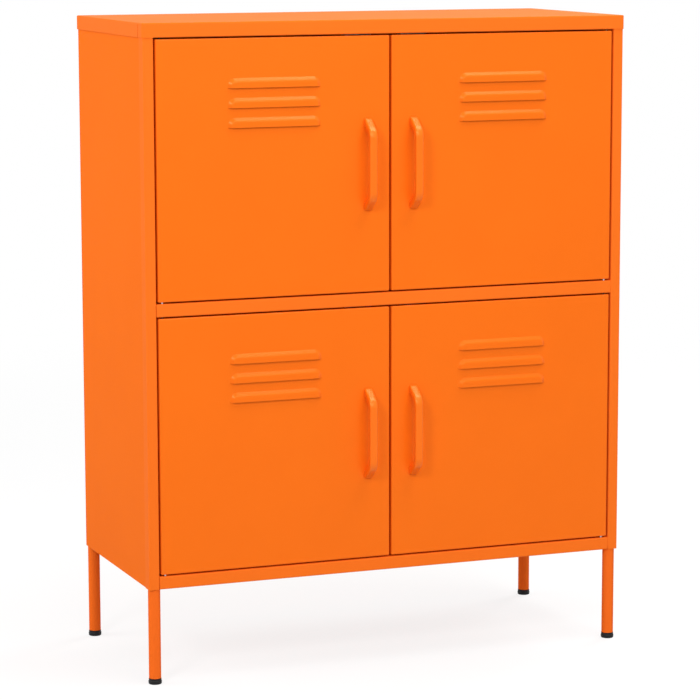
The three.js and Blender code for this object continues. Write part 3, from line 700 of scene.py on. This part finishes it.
return_stations = fold_under(top_depth)[2:] + [(post_high.y - low.y, top_depth)]
for inset, depth in return_stations:
    under.append([bm.verts.new((x, low.y + inset, high.z - depth))
                  for x in (-RETURN_HALF, RETURN_HALF)])
for here, there in zip(under, under[1:]):
    bm.faces.new((here[0], there[0], there[1], here[1]))
top = thickened(object_from("top_panel_sheet", bm, body_paint))
drilled(top, [pin_spots["lower_" + s] + Vector((0, 0, low.z)) for s in SIDE_SIGNS],
        PIN_HOLE_RADIUS, "Z", SHEET_DRILL)
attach(top, "cabinet")
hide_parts("top_panel")

# Legs: painted steel tubes, closed at the top by a welded plug with a stud that screws into the
# plate in the bottom of each post. A bush in the lower end takes the foot's stem.
LEG_EDGE = 0.0005
LEG_BORE = 0.0043
LEG_BORE_DEPTH = 0.012
STUD_RADIUS = 0.003
LEG_SIDES = 64
LEG_ORANGE = (0.930, 0.158, 0.0160, 1)
CORNERS = [(end, side_name) for end in ("front", "rear") for side_name in SIDE_SIGNS]
leg_paint = powder_coat("leg_powder_coat", LEG_ORANGE, 0.40)

for end, side_name in CORNERS:
    node = "leg_" + end + "_" + side_name
    low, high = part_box(node)
    radius = (high.x - low.x) / 2
    leg_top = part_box("bottom_panel")[0].z - SEAT
    bore_top = low.z + LEG_BORE_DEPTH
    leg = turned(node + "_tube", [
        (0, bore_top), (LEG_BORE, bore_top), (LEG_BORE, low.z), (radius - LEG_EDGE, low.z),
        (radius, low.z + LEG_EDGE), (radius, leg_top - LEG_EDGE), (radius - LEG_EDGE, leg_top),
        (STUD_RADIUS, leg_top), (STUD_RADIUS, high.z), (0, high.z)], LEG_SIDES, leg_paint)
    leg.data.transform(Matrix.Translation(((low.x + high.x) / 2, (low.y + high.y) / 2, 0)))
    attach(leg, "cabinet")
    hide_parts(node)
    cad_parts["leg_bracket_" + end + "_" + side_name].material_slots[0].material = zinc

# Levelling feet: black moulded pads, each on a threaded stem that screws up into its leg. A low
# bead runs round the pad and its foot is rounded.
PAD_TOP = 0.0087
PAD_SIDES = 64
STEM_CORE = 0.0034
STEM_EDGE = 0.0006
STEM_SIDES = 32
THREAD_RADIUS = 0.0040
THREAD_DEPTH = 0.0006
THREAD_PITCH = 0.00125
THREAD_TURNS = 11.0
foot_black = bpy.data.materials.new("foot_moulding")
foot_black.use_nodes = True
nodes, links = foot_black.node_tree.nodes, foot_black.node_tree.links
shader = nodes["Principled BSDF"]
shader.inputs["Roughness"].default_value = 0.60
shader.inputs["Specular IOR Level"].default_value = 0.22
place = nodes.new("ShaderNodeTexCoord")
fleck = nodes.new("ShaderNodeTexNoise")
fleck.inputs["Scale"].default_value = 420.0
tones = nodes.new("ShaderNodeValToRGB")
tones.color_ramp.elements[0].color = (0.0055, 0.0055, 0.0062, 1)
tones.color_ramp.elements[1].color = (0.0100, 0.0100, 0.0112, 1)
links.new(place.outputs["Object"], fleck.inputs["Vector"])
links.new(fleck.outputs["Fac"], tones.inputs["Fac"])
links.new(tones.outputs["Color"], shader.inputs["Base Color"])


def thread_tree():
    """A ridge wound up a stem, from its radius, depth, pitch and number of turns."""
    tree, given, result = new_tree("screw thread", {
        "Radius": "Float", "Depth": "Float", "Pitch": "Float", "Turns": "Float",
        "Finish": "Material"})
    nodes, links = tree.nodes, tree.links
    length = nodes.new("ShaderNodeMath")
    length.operation = "MULTIPLY"
    inner = nodes.new("ShaderNodeMath")
    inner.operation = "SUBTRACT"
    helix = nodes.new("GeometryNodeCurveSpiral")
    helix.inputs["Resolution"].default_value = 20
    ridge = nodes.new("GeometryNodeCurvePrimitiveCircle")
    ridge.inputs["Resolution"].default_value = 4
    wound = nodes.new("GeometryNodeCurveToMesh")
    wound.inputs["Fill Caps"].default_value = True
    finish = nodes.new("GeometryNodeSetMaterial")
    links.new(given.outputs["Pitch"], length.inputs[0])
    links.new(given.outputs["Turns"], length.inputs[1])
    links.new(given.outputs["Radius"], inner.inputs[0])
    links.new(given.outputs["Depth"], inner.inputs[1])
    links.new(given.outputs["Turns"], helix.inputs["Rotations"])
    links.new(inner.outputs[0], helix.inputs["Start Radius"])
    links.new(inner.outputs[0], helix.inputs["End Radius"])
    links.new(length.outputs[0], helix.inputs["Height"])
    links.new(given.outputs["Depth"], ridge.inputs["Radius"])
    links.new(helix.outputs[0], wound.inputs["Curve"])
    links.new(ridge.outputs[0], wound.inputs["Profile Curve"])
    links.new(wound.outputs[0], finish.inputs["Geometry"])
    links.new(given.outputs["Finish"], finish.inputs["Material"])
    links.new(finish.outputs[0], result.inputs[0])
    return tree


thread = thread_tree()
for end, side_name in CORNERS:
    node = "levelling_foot_" + end + "_" + side_name
    low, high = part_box(node)
    radius = (high.x - low.x) / 2
    to_corner = Matrix.Translation(((low.x + high.x) / 2, (low.y + high.y) / 2, 0))
    pad = turned(node + "_pad", [
        (0, 0), (radius - 0.0020, 0), (radius - 0.0011, 0.0002), (radius - 0.0005, 0.0007),
        (radius - 0.0002, 0.0015), (radius - 0.0002, 0.0036), (radius, 0.0040), (radius, 0.0049),
        (radius - 0.0003, 0.0053), (radius - 0.0006, 0.0057), (radius - 0.0008, 0.0070),
        (radius - 0.0006, 0.0079), (radius - 0.0005, 0.0084), (radius - 0.0008, PAD_TOP),
        (STEM_CORE, PAD_TOP), (0, PAD_TOP)], PAD_SIDES, foot_black)
    pad.data.transform(to_corner)
    body = "foot_" + end + "_" + side_name
    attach(pad, body)
    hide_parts(node)
    core = turned(node + "_stem", [
        (0, PAD_TOP), (STEM_CORE, PAD_TOP), (STEM_CORE, high.z - STEM_EDGE),
        (STEM_CORE - STEM_EDGE, high.z), (0, high.z)], STEM_SIDES, zinc)
    ridge = plain(use_tree(object_from("ridge", bmesh.new(), None), thread, radius=THREAD_RADIUS,
                           depth=THREAD_DEPTH, pitch=THREAD_PITCH, turns=THREAD_TURNS,
                           finish=zinc))
    ridge.data.transform(Matrix.Translation((0, 0, PAD_TOP + THREAD_DEPTH)))
    joined = bmesh.new()
    joined.from_mesh(core.data)
    joined.from_mesh(ridge.data)
    joined.to_mesh(core.data)
    joined.free()
    bpy.data.objects.remove(ridge)
    core.data.transform(to_corner)
    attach(core, body)

# Loose shelves: one in each compartment, a sheet of steel folded down 18 mm on every side and in
# again underneath. It lies on four clips.
for row in ROWS:
    low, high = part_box("loose_shelf_" + row)
    shelf = folded_tray("loose_shelf_sheet_" + row, [
        corner_column(low.x, low.y, -1, -1), corner_column(high.x, low.y, 1, -1),
        corner_column(high.x, high.y, 1, 1), corner_column(low.x, high.y, -1, 1),
    ], low, high, SIDE_RETURN, body_paint)
    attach(shelf, "cabinet")
    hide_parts("loose_shelf_" + row)

# Shelf clips: zinc-plated angles with a tongue that hooks into a slot of the post. Two in front
# and two at the rear hold each shelf.
CLIP_SHEET = 0.0012
CLIP_BEND = 0.0012
CLIP_BEND_STEPS = 4
TONGUE_HALF_WIDTH = 0.0013
TONGUE_HALF_HEIGHT = 0.0047


def copy_tree():
    """Copies of one piece on points, each turned as its point says."""
    tree, given, result = new_tree("copies in place", {"Copy": "Object", "Finish": "Material"})
    nodes, links = tree.nodes, tree.links
    turn = nodes.new("GeometryNodeInputNamedAttribute")
    turn.data_type = "FLOAT_VECTOR"
    turn.inputs["Name"].default_value = "turn"
    angle = nodes.new("FunctionNodeEulerToRotation")
    source = nodes.new("GeometryNodeObjectInfo")
    copies = nodes.new("GeometryNodeInstanceOnPoints")
    real = nodes.new("GeometryNodeRealizeInstances")
    finish = nodes.new("GeometryNodeSetMaterial")
    links.new(turn.outputs["Attribute"], angle.inputs[0])
    links.new(given.outputs["Copy"], source.inputs["Object"])
    links.new(given.outputs["Geometry"], copies.inputs["Points"])
    links.new(source.outputs["Geometry"], copies.inputs["Instance"])
    links.new(angle.outputs[0], copies.inputs["Rotation"])
    links.new(copies.outputs[0], real.inputs[0])
    links.new(real.outputs[0], finish.inputs["Geometry"])
    links.new(given.outputs["Finish"], finish.inputs["Material"])
    links.new(finish.outputs[0], result.inputs[0])
    return tree


copies_in_place = copy_tree()


def copies(name, master, places, material):
    """One piece made of copies of the master, each at a place and turn."""
    mesh = bpy.data.meshes.new(name)
    mesh.from_pydata([place for place, turn in places], [], [])
    turns = mesh.attributes.new("turn", "FLOAT_VECTOR", "POINT")
    turns.data.foreach_set("vector", [angle for place, turn in places for angle in turn])
    piece = bpy.data.objects.new(name, mesh)
    bpy.context.scene.collection.objects.link(piece)
    return plain(use_tree(piece, copies_in_place, copy=master, finish=material))


def box_into(bm, low, high):
    """Adds a block between two corners to a bmesh."""
    size = Vector(high) - Vector(low)
    middle = (Vector(high) + Vector(low)) / 2
    return bmesh.ops.create_cube(
        bm, size=1, matrix=Matrix.Translation(middle) @ Matrix.Diagonal((*size, 1)))["verts"]


low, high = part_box("shelf_clip_front_lower_right")
clip_height, clip_width = high.z - low.z, high.y - low.y
face_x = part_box("front_upright_right")[0].x - SEAT
reach = face_x - low.x
angle_line = bent([Vector(c) for c in (
    (-CLIP_SHEET / 2, -clip_height / 2), (-CLIP_SHEET / 2, clip_height / 2 - CLIP_SHEET / 2),
    (-reach, clip_height / 2 - CLIP_SHEET / 2))], CLIP_BEND - CLIP_SHEET / 2, CLIP_BEND_STEPS)
bm = bmesh.new()
edges = []
for i, point in enumerate(angle_line):
    along = (angle_line[min(i + 1, len(angle_line) - 1)] - angle_line[max(i - 1, 0)]).normalized()
    across = Vector((-along.y, along.x)) * CLIP_SHEET / 2
    edges.append([bm.verts.new((p.x, y, p.y)) for p in (point + across, point - across)
                  for y in (-clip_width / 2, clip_width / 2)])
for here, there in zip(edges, edges[1:]):
    for a, b in ((0, 1), (1, 3), (3, 2), (2, 0)):
        bm.faces.new((here[a], here[b], there[b], there[a]))
bm.faces.new([edges[0][k] for k in (0, 2, 3, 1)])
bm.faces.new([edges[-1][k] for k in (1, 3, 2, 0)])
box_into(bm, (-CLIP_SHEET / 2, -TONGUE_HALF_WIDTH, -TONGUE_HALF_HEIGHT),
         (high.x - face_x, TONGUE_HALF_WIDTH, TONGUE_HALF_HEIGHT))
bmesh.ops.recalc_face_normals(bm, faces=bm.faces)
clip = object_from("clip", bm, zinc)
clip_nodes = [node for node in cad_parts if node.startswith("shelf_clip_")]
places = []
for node in clip_nodes:
    low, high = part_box(node)
    middle = (low + high) / 2
    side = 1 if middle.x > 0 else -1
    places.append(((side * face_x, middle.y, middle.z), (0, 0, 0 if side > 0 else math.pi)))
clips = copies("shelf_clips", clip, places, zinc)
bpy.data.objects.remove(clip)
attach(clips, "cabinet")
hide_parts(*clip_nodes)

# Hinge pins: each door turns on two steel pins with flat heads, a zinc-plated one up through the
# sheet under it and a near-black one, darkened as painted shade, down through the sheet over it.
# They stay in the cabinet.
PIN_RADIUS = 0.0020
PIN_POINT = 0.0005
PIN_HEAD_RADIUS = 0.0035
PIN_HEAD_HEIGHT = 0.0012
PIN_SIDES = 32
low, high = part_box("pin_bottom_lower_left")
pin_length = high.z - low.z
pin = turned("pin", [
    (0, 0), (PIN_HEAD_RADIUS - 0.0004, 0), (PIN_HEAD_RADIUS, 0.0003),
    (PIN_HEAD_RADIUS, PIN_HEAD_HEIGHT), (PIN_RADIUS, PIN_HEAD_HEIGHT),
    (PIN_RADIUS, pin_length - PIN_POINT), (PIN_RADIUS - PIN_POINT, pin_length), (0, pin_length)],
    PIN_SIDES, zinc)
# The top pins' near-black tone is painted shade: it makes them read as the shade in the gap above
# each door.
shaded_pin_steel = plated_steel("blackened_steel", 0.55, (0.040, 0.032, 0.028, 1))
for end, head_level, turn, finish in (("bottom", 0, 0, zinc), ("top", 1, math.pi, shaded_pin_steel)):
    pin_nodes = [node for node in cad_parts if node.startswith("pin_" + end)]
    places = []
    for node in pin_nodes:
        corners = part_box(node)
        middle = (corners[0] + corners[1]) / 2
        places.append(((middle.x, middle.y, corners[head_level].z), (turn, 0, 0)))
    pins = copies("hinge_pins_" + end, pin, places, finish)
    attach(pins, "cabinet")
    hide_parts(*pin_nodes)
bpy.data.objects.remove(pin)

# Magnetic catches: white moulded housings under the top return and the middle shelf, each held by
# two screws. Two steel pole plates stand out of the housing and draw the door's return to them.
CATCH_EAR = 0.008
CATCH_EAR_HEIGHT = 0.003
CATCH_EDGE = 0.0005
POLE_OUT = 0.0015
POLE_HALF_SPREAD = 0.003
POLE_HALF_THICK = 0.0006
CATCH_SCREW_FACE = 0.0012
CATCH_SCREW_SIDES = 20
catch_white = bpy.data.materials.new("catch_moulding")
catch_white.use_nodes = True
nodes, links = catch_white.node_tree.nodes, catch_white.node_tree.links
shader = nodes["Principled BSDF"]
shader.inputs["Base Color"].default_value = (0.80, 0.80, 0.76, 1)
place = nodes.new("ShaderNodeTexCoord")
cloud = nodes.new("ShaderNodeTexNoise")
cloud.inputs["Scale"].default_value = 180.0
spread = nodes.new("ShaderNodeMapRange")
spread.inputs["To Min"].default_value = 0.40
spread.inputs["To Max"].default_value = 0.52
links.new(place.outputs["Object"], cloud.inputs["Vector"])
links.new(cloud.outputs["Fac"], spread.inputs["Value"])
links.new(spread.outputs["Result"], shader.inputs["Roughness"])
low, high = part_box("magnetic_catch_lower_left")
half_length, depth, height = (high.x - low.x) / 2, high.y - low.y, high.z - low.z
half_housing = half_length - CATCH_EAR
bm = bmesh.new()
box_into(bm, (-half_housing, POLE_OUT, -height), (half_housing, depth, -CATCH_EAR_HEIGHT / 2))
box_into(bm, (-half_length, POLE_OUT, -CATCH_EAR_HEIGHT), (half_length, depth, 0))
bmesh.ops.bevel(bm, geom=bm.edges[:], offset=CATCH_EDGE, segments=3, profile=0.5, affect="EDGES")
housing = object_from("housing", bm, catch_white)
bm = bmesh.new()
half_pole = half_housing - POLE_OUT
for way in (-1, 1):
    level = -height / 2 + way * POLE_HALF_SPREAD
    box_into(bm, (-half_pole, 0, level - POLE_HALF_THICK),
             (half_pole, depth / 2, level + POLE_HALF_THICK))
poles = object_from("poles", bm, zinc)
catch_nodes = [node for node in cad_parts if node.startswith("magnetic_catch_")]
places = []
screw_places = []
for node in catch_nodes:
    low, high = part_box(node)
    places.append((((low.x + high.x) / 2, low.y, high.z), (0, 0, 0)))
    for end_x in (low.x + CATCH_EAR / 2, high.x - CATCH_EAR / 2):
        screw_places.append(((end_x, (low.y + POLE_OUT + high.y) / 2, high.z - CATCH_EAR_HEIGHT),
                             (math.pi, 0, 0)))
housings = copies("catch_housings", housing, places, catch_white)
pole_plates = copies("catch_poles", poles, places, zinc)
catch_screw = crossed(turned("catch_screw", [
    (0, -0.0005), (0.0024, -0.0005), (0.0026, 0), (0.0026, 0.0003), (0.0020, 0.0010),
    (0, 0.0014)], CATCH_SCREW_SIDES, zinc), CATCH_SCREW_FACE)
catch_screws = copies("catch_screws", catch_screw, screw_places, zinc)
for master in (housing, poles, catch_screw):
    bpy.data.objects.remove(master)
for piece, finish in ((housings, "catch_plastic"), (pole_plates, "zinc"), (catch_screws, "zinc")):
    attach(piece, "cabinet")
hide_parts(*catch_nodes)

# Doors: pans of 0.8 mm sheet, folded back 18 mm and turned in 12 mm on every side, with a little
# ease at the upright edges. Three louvres are lanced and pressed out of each, open along their
# lower edges.
DOOR_LIP = 0.012
DOOR_EASE = 0.0005
DOUBLE_POINTS = 0.000005
SKIN_MERGE = 0.00001
LOUVRES = 3
LOUVRE_LENGTH = 0.150
LOUVRE_HEIGHT = 0.0155
LOUVRE_PITCH = 0.030
LOUVRE_DROP = 0.0755
LOUVRE_OUT = 0.0038
LOUVRE_SLOPE = math.radians(36)
LOUVRE_CREST = 0.005
LOUVRE_CORNER = 0.012
LOUVRE_FILLET = 0.001
LANCE_CUT = 0.0004
MARGIN = 0.0005
LOUVRE_STEPS = 10
DOOR_ORANGE = (0.940, 0.164, 0.0070, 1)
GLOSS_TINT = (1, 0.76, 0.32, 1)
door_paint = powder_coat("door_powder_coat", DOOR_ORANGE, 0.27, 0.27, GLOSS_TINT)


def louvre_columns():
    """The outline of a louvre from its right foot, over the top, to its left foot."""
    across, upward = LOUVRE_LENGTH / 2 - LOUVRE_CORNER, LOUVRE_HEIGHT - LOUVRE_CORNER
    columns = [(across, 0, 1, 0, 1, 0), (across, upward - EASE, 1, 0, 1, 0)]
    for way, centre_x in ((0, across), (1, -across)):
        for k in range(LOUVRE_STEPS + 1):
            a = (way + k / LOUVRE_STEPS) * math.pi / 2
            columns.append((centre_x, upward, math.cos(a), math.sin(a), math.cos(a), math.sin(a)))
    return columns + [(-across, upward - EASE, -1, 0, -1, 0), (-across, 0, -1, 0, -1, 0)]


def louvre_stations():
    """Inset and depth from a louvre's crest, down its slope and fillet, to the door's face."""
    rise, run = math.sin(LOUVRE_SLOPE), math.cos(LOUVRE_SLOPE)
    straight = (LOUVRE_OUT - (LOUVRE_FILLET + LOUVRE_CREST) * (1 - run)) / rise
    turn = [k * LOUVRE_SLOPE / LOUVRE_STEPS for k in range(LOUVRE_STEPS + 1)]
    fillet = [(LOUVRE_FILLET * math.sin(a), -LOUVRE_FILLET * (1 - math.cos(a))) for a in turn]
    crest_inset = (LOUVRE_FILLET + LOUVRE_CREST) * rise + straight * run
    crest = [(crest_inset - LOUVRE_CREST * math.sin(a),
              LOUVRE_CREST * (1 - math.cos(a)) - LOUVRE_OUT) for a in turn]
    return [(crest_inset + EASE, -LOUVRE_OUT)] + crest + fillet[::-1] + [(-MARGIN, 0)]


def door_tree():
    """Louvres in even steps down a door's face, the face with their holes, and its folds."""
    tree, given, result = new_tree("door skin", {
        "Louvre": "Object", "Louvre Hole": "Object", "Louvres": "Int", "Pitch": "Float",
        "First Level": "Float", "Place": "Vector", "Finish": "Material"})
    nodes, links = tree.nodes, tree.links
    start = nodes.new("ShaderNodeCombineXYZ")
    step = nodes.new("ShaderNodeCombineXYZ")
    down = nodes.new("ShaderNodeMath")
    down.operation = "MULTIPLY"
    down.inputs[1].default_value = -1.0
    ladder = nodes.new("GeometryNodeMeshLine")
    links.new(given.outputs["First Level"], start.inputs["Y"])
    links.new(given.outputs["Pitch"], down.inputs[0])
    links.new(down.outputs[0], step.inputs["Y"])
    links.new(given.outputs["Louvres"], ladder.inputs["Count"])
    links.new(start.outputs[0], ladder.inputs["Start Location"])
    links.new(step.outputs[0], ladder.inputs["Offset"])
    placed = {}
    for label in ("Louvre", "Louvre Hole"):
        source = nodes.new("GeometryNodeObjectInfo")
        on_levels = nodes.new("GeometryNodeInstanceOnPoints")
        placed[label] = nodes.new("GeometryNodeRealizeInstances")
        links.new(given.outputs[label], source.inputs["Object"])
        links.new(ladder.outputs[0], on_levels.inputs["Points"])
        links.new(source.outputs["Geometry"], on_levels.inputs["Instance"])
        links.new(on_levels.outputs[0], placed[label].inputs[0])
    use = nodes.new("GeometryNodeInputMeshEdgeNeighbors")
    free = nodes.new("FunctionNodeCompare")
    free.data_type = "INT"
    free.operation = "EQUAL"
    free.inputs["B"].default_value = 1
    point = nodes.new("GeometryNodeInputPosition")
    parts = nodes.new("ShaderNodeSeparateXYZ")
    level = nodes.new("FunctionNodeCompare")
    level.data_type = "FLOAT"
    level.operation = "GREATER_THAN"
    level.inputs["B"].default_value = -EASE
    both = nodes.new("FunctionNodeBooleanMath")
    rim = nodes.new("GeometryNodeMeshToCurve")
    holes = nodes.new("GeometryNodeMeshToCurve")
    outlines = nodes.new("GeometryNodeJoinGeometry")
    face = nodes.new("GeometryNodeFillCurve")
    links.new(use.outputs["Face Count"], free.inputs["A"])
    links.new(point.outputs[0], parts.inputs[0])
    links.new(parts.outputs["Z"], level.inputs["A"])
    links.new(free.outputs[0], both.inputs[0])
    links.new(level.outputs[0], both.inputs[1])
    links.new(given.outputs["Geometry"], rim.inputs["Mesh"])
    links.new(both.outputs[0], rim.inputs["Selection"])
    links.new(placed["Louvre Hole"].outputs[0], holes.inputs["Mesh"])
    links.new(rim.outputs[0], outlines.inputs[0])
    links.new(holes.outputs[0], outlines.inputs[0])
    links.new(outlines.outputs[0], face.inputs["Curve"])
    skin = nodes.new("GeometryNodeJoinGeometry")
    merged = nodes.new("GeometryNodeMergeByDistance")
    merged.inputs["Distance"].default_value = SKIN_MERGE
    stand = nodes.new("GeometryNodeTransform")
    stand.inputs["Rotation"].default_value = (math.pi / 2, 0, 0)
    finish = nodes.new("GeometryNodeSetMaterial")
    links.new(given.outputs["Geometry"], skin.inputs[0])
    links.new(placed["Louvre"].outputs[0], skin.inputs[0])
    links.new(face.outputs[0], skin.inputs[0])
    links.new(skin.outputs[0], merged.inputs["Geometry"])
    links.new(merged.outputs[0], stand.inputs["Geometry"])
    links.new(given.outputs["Place"], stand.inputs["Translation"])
    links.new(stand.outputs[0], finish.inputs["Geometry"])
    links.new(given.outputs["Finish"], finish.inputs["Material"])
    links.new(finish.outputs[0], result.inputs[0])
    return tree


hood_columns = louvre_columns()
bm = bmesh.new()
rings = [[bm.verts.new((*at_inset(column, LOUVRE_CORNER, inset), -depth))
          for column in hood_columns] for inset, depth in louvre_stations()]
bm.faces.new(rings[0])
for inner, outer in zip(rings, rings[1:]):
    for i in range(len(hood_columns) - 1):
        bm.faces.new((inner[i], outer[i], outer[i + 1], inner[i + 1]))
louvre = object_from("louvre", bm, door_paint)
outline = [at_inset(column, LOUVRE_CORNER, -MARGIN) for column in hood_columns]
slit_half = LOUVRE_LENGTH / 2
outline += [(-slit_half, 0), (-slit_half, -LANCE_CUT), (slit_half, -LANCE_CUT), (slit_half, 0)]
hole_mesh = bpy.data.meshes.new("louvre_hole")
hole_mesh.from_pydata([(x, y, 0) for x, y in outline],
                      [(i, (i + 1) % len(outline)) for i in range(len(outline))], [])
louvre_hole = bpy.data.objects.new("louvre_hole", hole_mesh)
bpy.context.scene.collection.objects.link(louvre_hole)
door_skin = door_tree()
face_y = post_low.y

for which in DOOR_NAMES:
    low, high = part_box("door_" + which)
    half_x, half_z = (high.x - low.x) / 2 - DOOR_EASE, (high.z - low.z) / 2
    back = high.y
    columns = [column for sx, sz in ((1, -1), (1, 1), (-1, 1), (-1, -1))
               for column in rounded_corner(half_x, half_z, BEND, sx, sz)]
    stations = fold_over() + fold_under(back - face_y) + [(DOOR_LIP, back - face_y)]
    bm, rings = pan_skin(columns, BEND, stations, 0, with_face=False)
    bmesh.ops.remove_doubles(bm, verts=bm.verts, dist=DOUBLE_POINTS)
    door = use_tree(object_from("door_pan_" + which, bm, door_paint), door_skin, louvre=louvre,
                    louvre_hole=louvre_hole, louvres=LOUVRES, pitch=LOUVRE_PITCH,
                    first_level=half_z - LOUVRE_DROP,
                    place=((low.x + high.x) / 2, face_y, (low.z + high.z) / 2),
                    finish=door_paint)
    thickened(plain(door))
    pin_x, pin_y = pin_spots[which].xy
    drilled(door, [Vector((pin_x, pin_y, z)) for z in (low.z, high.z)],
            PIN_HOLE_RADIUS, "Z", SHEET_DRILL)
    screws = [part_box("handle_screw_" + end + "_" + which) for end in ("bottom", "top")]
    drilled(door, [Vector(((a.x + b.x) / 2, face_y, (a.z + b.z) / 2)) for a, b in screws],
            PIN_HOLE_RADIUS, "Y", SHEET_DRILL)
    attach(door, "door_" + which)
    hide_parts("door_" + which)
bpy.data.objects.remove(louvre)
bpy.data.objects.remove(louvre_hole)

# Handles: cast bows painted with the doors. Each has two sloping feet and a straight flat bar,
# with well rounded edges, and is screwed on from inside the door.
HANDLE_SECTION_ROUND = 0.0031
HANDLE_BAR = 0.0075
HANDLE_FOOT = 0.0135
HANDLE_STUB = 0.003
HANDLE_DROP = 0.019
ELBOW_ROUND = 0.022
FOOT_ROUND = 0.006
SECTION_STEPS = 6
FOOT_STEPS = 8
ELBOW_STEPS = 16
BOW_CREASE = 50
HANDLE_ORANGE = (0.960, 0.162, 0.0050, 1)
handle_paint = powder_coat("handle_powder_coat", HANDLE_ORANGE, 0.28, 0.60, GLOSS_TINT)


def rounded_section(half_u, half_v, radius):
    """A closed rounded rectangle in two directions, anticlockwise."""
    radius = min(radius, half_u * 0.98, half_v * 0.98)
    section = []
    for quarter, (sx, sy) in enumerate(((1, 1), (-1, 1), (-1, -1), (1, -1))):
        for k in range(SECTION_STEPS + 1):
            a = (quarter + k / SECTION_STEPS) * math.pi / 2
            section.append((sx * (half_u - radius) + radius * math.cos(a),
                            sy * (half_v - radius) + radius * math.sin(a)))
    return section


def bow_line(seat, out, half, drop, foot_radius, elbow_radius):
    """One side of the bow, seen from beside the door, as distance from the door and height."""
    top = [Vector((seat, half)), Vector((HANDLE_STUB, half)), Vector((out, half - drop)),
           Vector((out, 0))]
    foot = bent(top[:2] + [(top[1] + top[2]) / 2], foot_radius, FOOT_STEPS)
    elbow = bent([(top[1] + top[2]) / 2] + top[2:], elbow_radius, ELBOW_STEPS)
    upper = foot + elbow[1:]
    return upper + [Vector((p.x, -p.y)) for p in reversed(upper[:-1])]


for which in DOOR_NAMES:
    low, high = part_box("handle_" + which)
    seat = face_y - high.y
    out = face_y - low.y
    half = (high.z - low.z) / 2
    middle = (low + high) / 2
    outer = bow_line(seat, out, half, HANDLE_DROP, FOOT_ROUND, ELBOW_ROUND)
    inner_drop = HANDLE_DROP + HANDLE_BAR - HANDLE_FOOT
    inner = bow_line(seat, out - HANDLE_BAR, half - HANDLE_FOOT, inner_drop, FOOT_ROUND,
                     ELBOW_ROUND - HANDLE_BAR)
    half_width = (high.x - low.x) / 2
    bm = bmesh.new()
    rings = []
    for a, b in zip(outer, inner):
        centre, reach = (a + b) / 2, (a - b) / 2
        rings.append([bm.verts.new((
            middle.x + u, face_y - (centre.x + reach.normalized().x * v),
            middle.z + centre.y + reach.normalized().y * v))
            for u, v in rounded_section(half_width, reach.length, HANDLE_SECTION_ROUND)])
    for here, there in zip(rings, rings[1:]):
        for i in range(len(here)):
            j = (i + 1) % len(here)
            bm.faces.new((here[i], here[j], there[j], there[i]))
    bm.faces.new(rings[0])
    bm.faces.new(rings[-1])
    bmesh.ops.recalc_face_normals(bm, faces=bm.faces)
    bow = plain(object_from("handle_bow_" + which, bm, handle_paint), BOW_CREASE)
    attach(bow, "door_" + which)
    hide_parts("handle_" + which)

# Handle screws: two zinc-plated pan-head screws for each handle. They come through the door from
# inside, where their heads are, and hold in the handle's feet.
HANDLE_SCREW_HEAD = 0.0024
HANDLE_SCREW_SIDES = 32
handle_screw = crossed(turned("handle_screw", [
    (0, -0.0075), (0.0017, -0.0075), (0.0020, -0.0071), (0.0020, 0), (0.0040, 0),
    (0.0040, 0.0010), (0.0037, 0.0017), (0.0029, 0.0022), (0.0018, HANDLE_SCREW_HEAD),
    (0, HANDLE_SCREW_HEAD)], HANDLE_SCREW_SIDES, zinc), HANDLE_SCREW_HEAD)
for which in DOOR_NAMES:
    nodes_here = ["handle_screw_" + end + "_" + which for end in ("bottom", "top")]
    places = []
    for node in nodes_here:
        low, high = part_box(node)
        places.append((((low.x + high.x) / 2, high.y - HANDLE_SCREW_HEAD,
                        (low.z + high.z) / 2), (-math.pi / 2, 0, 0)))
    pair = copies("handle_screws_" + which, handle_screw, places, zinc)
    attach(pair, "door_" + which)
    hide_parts(*nodes_here)
bpy.data.objects.remove(handle_screw)
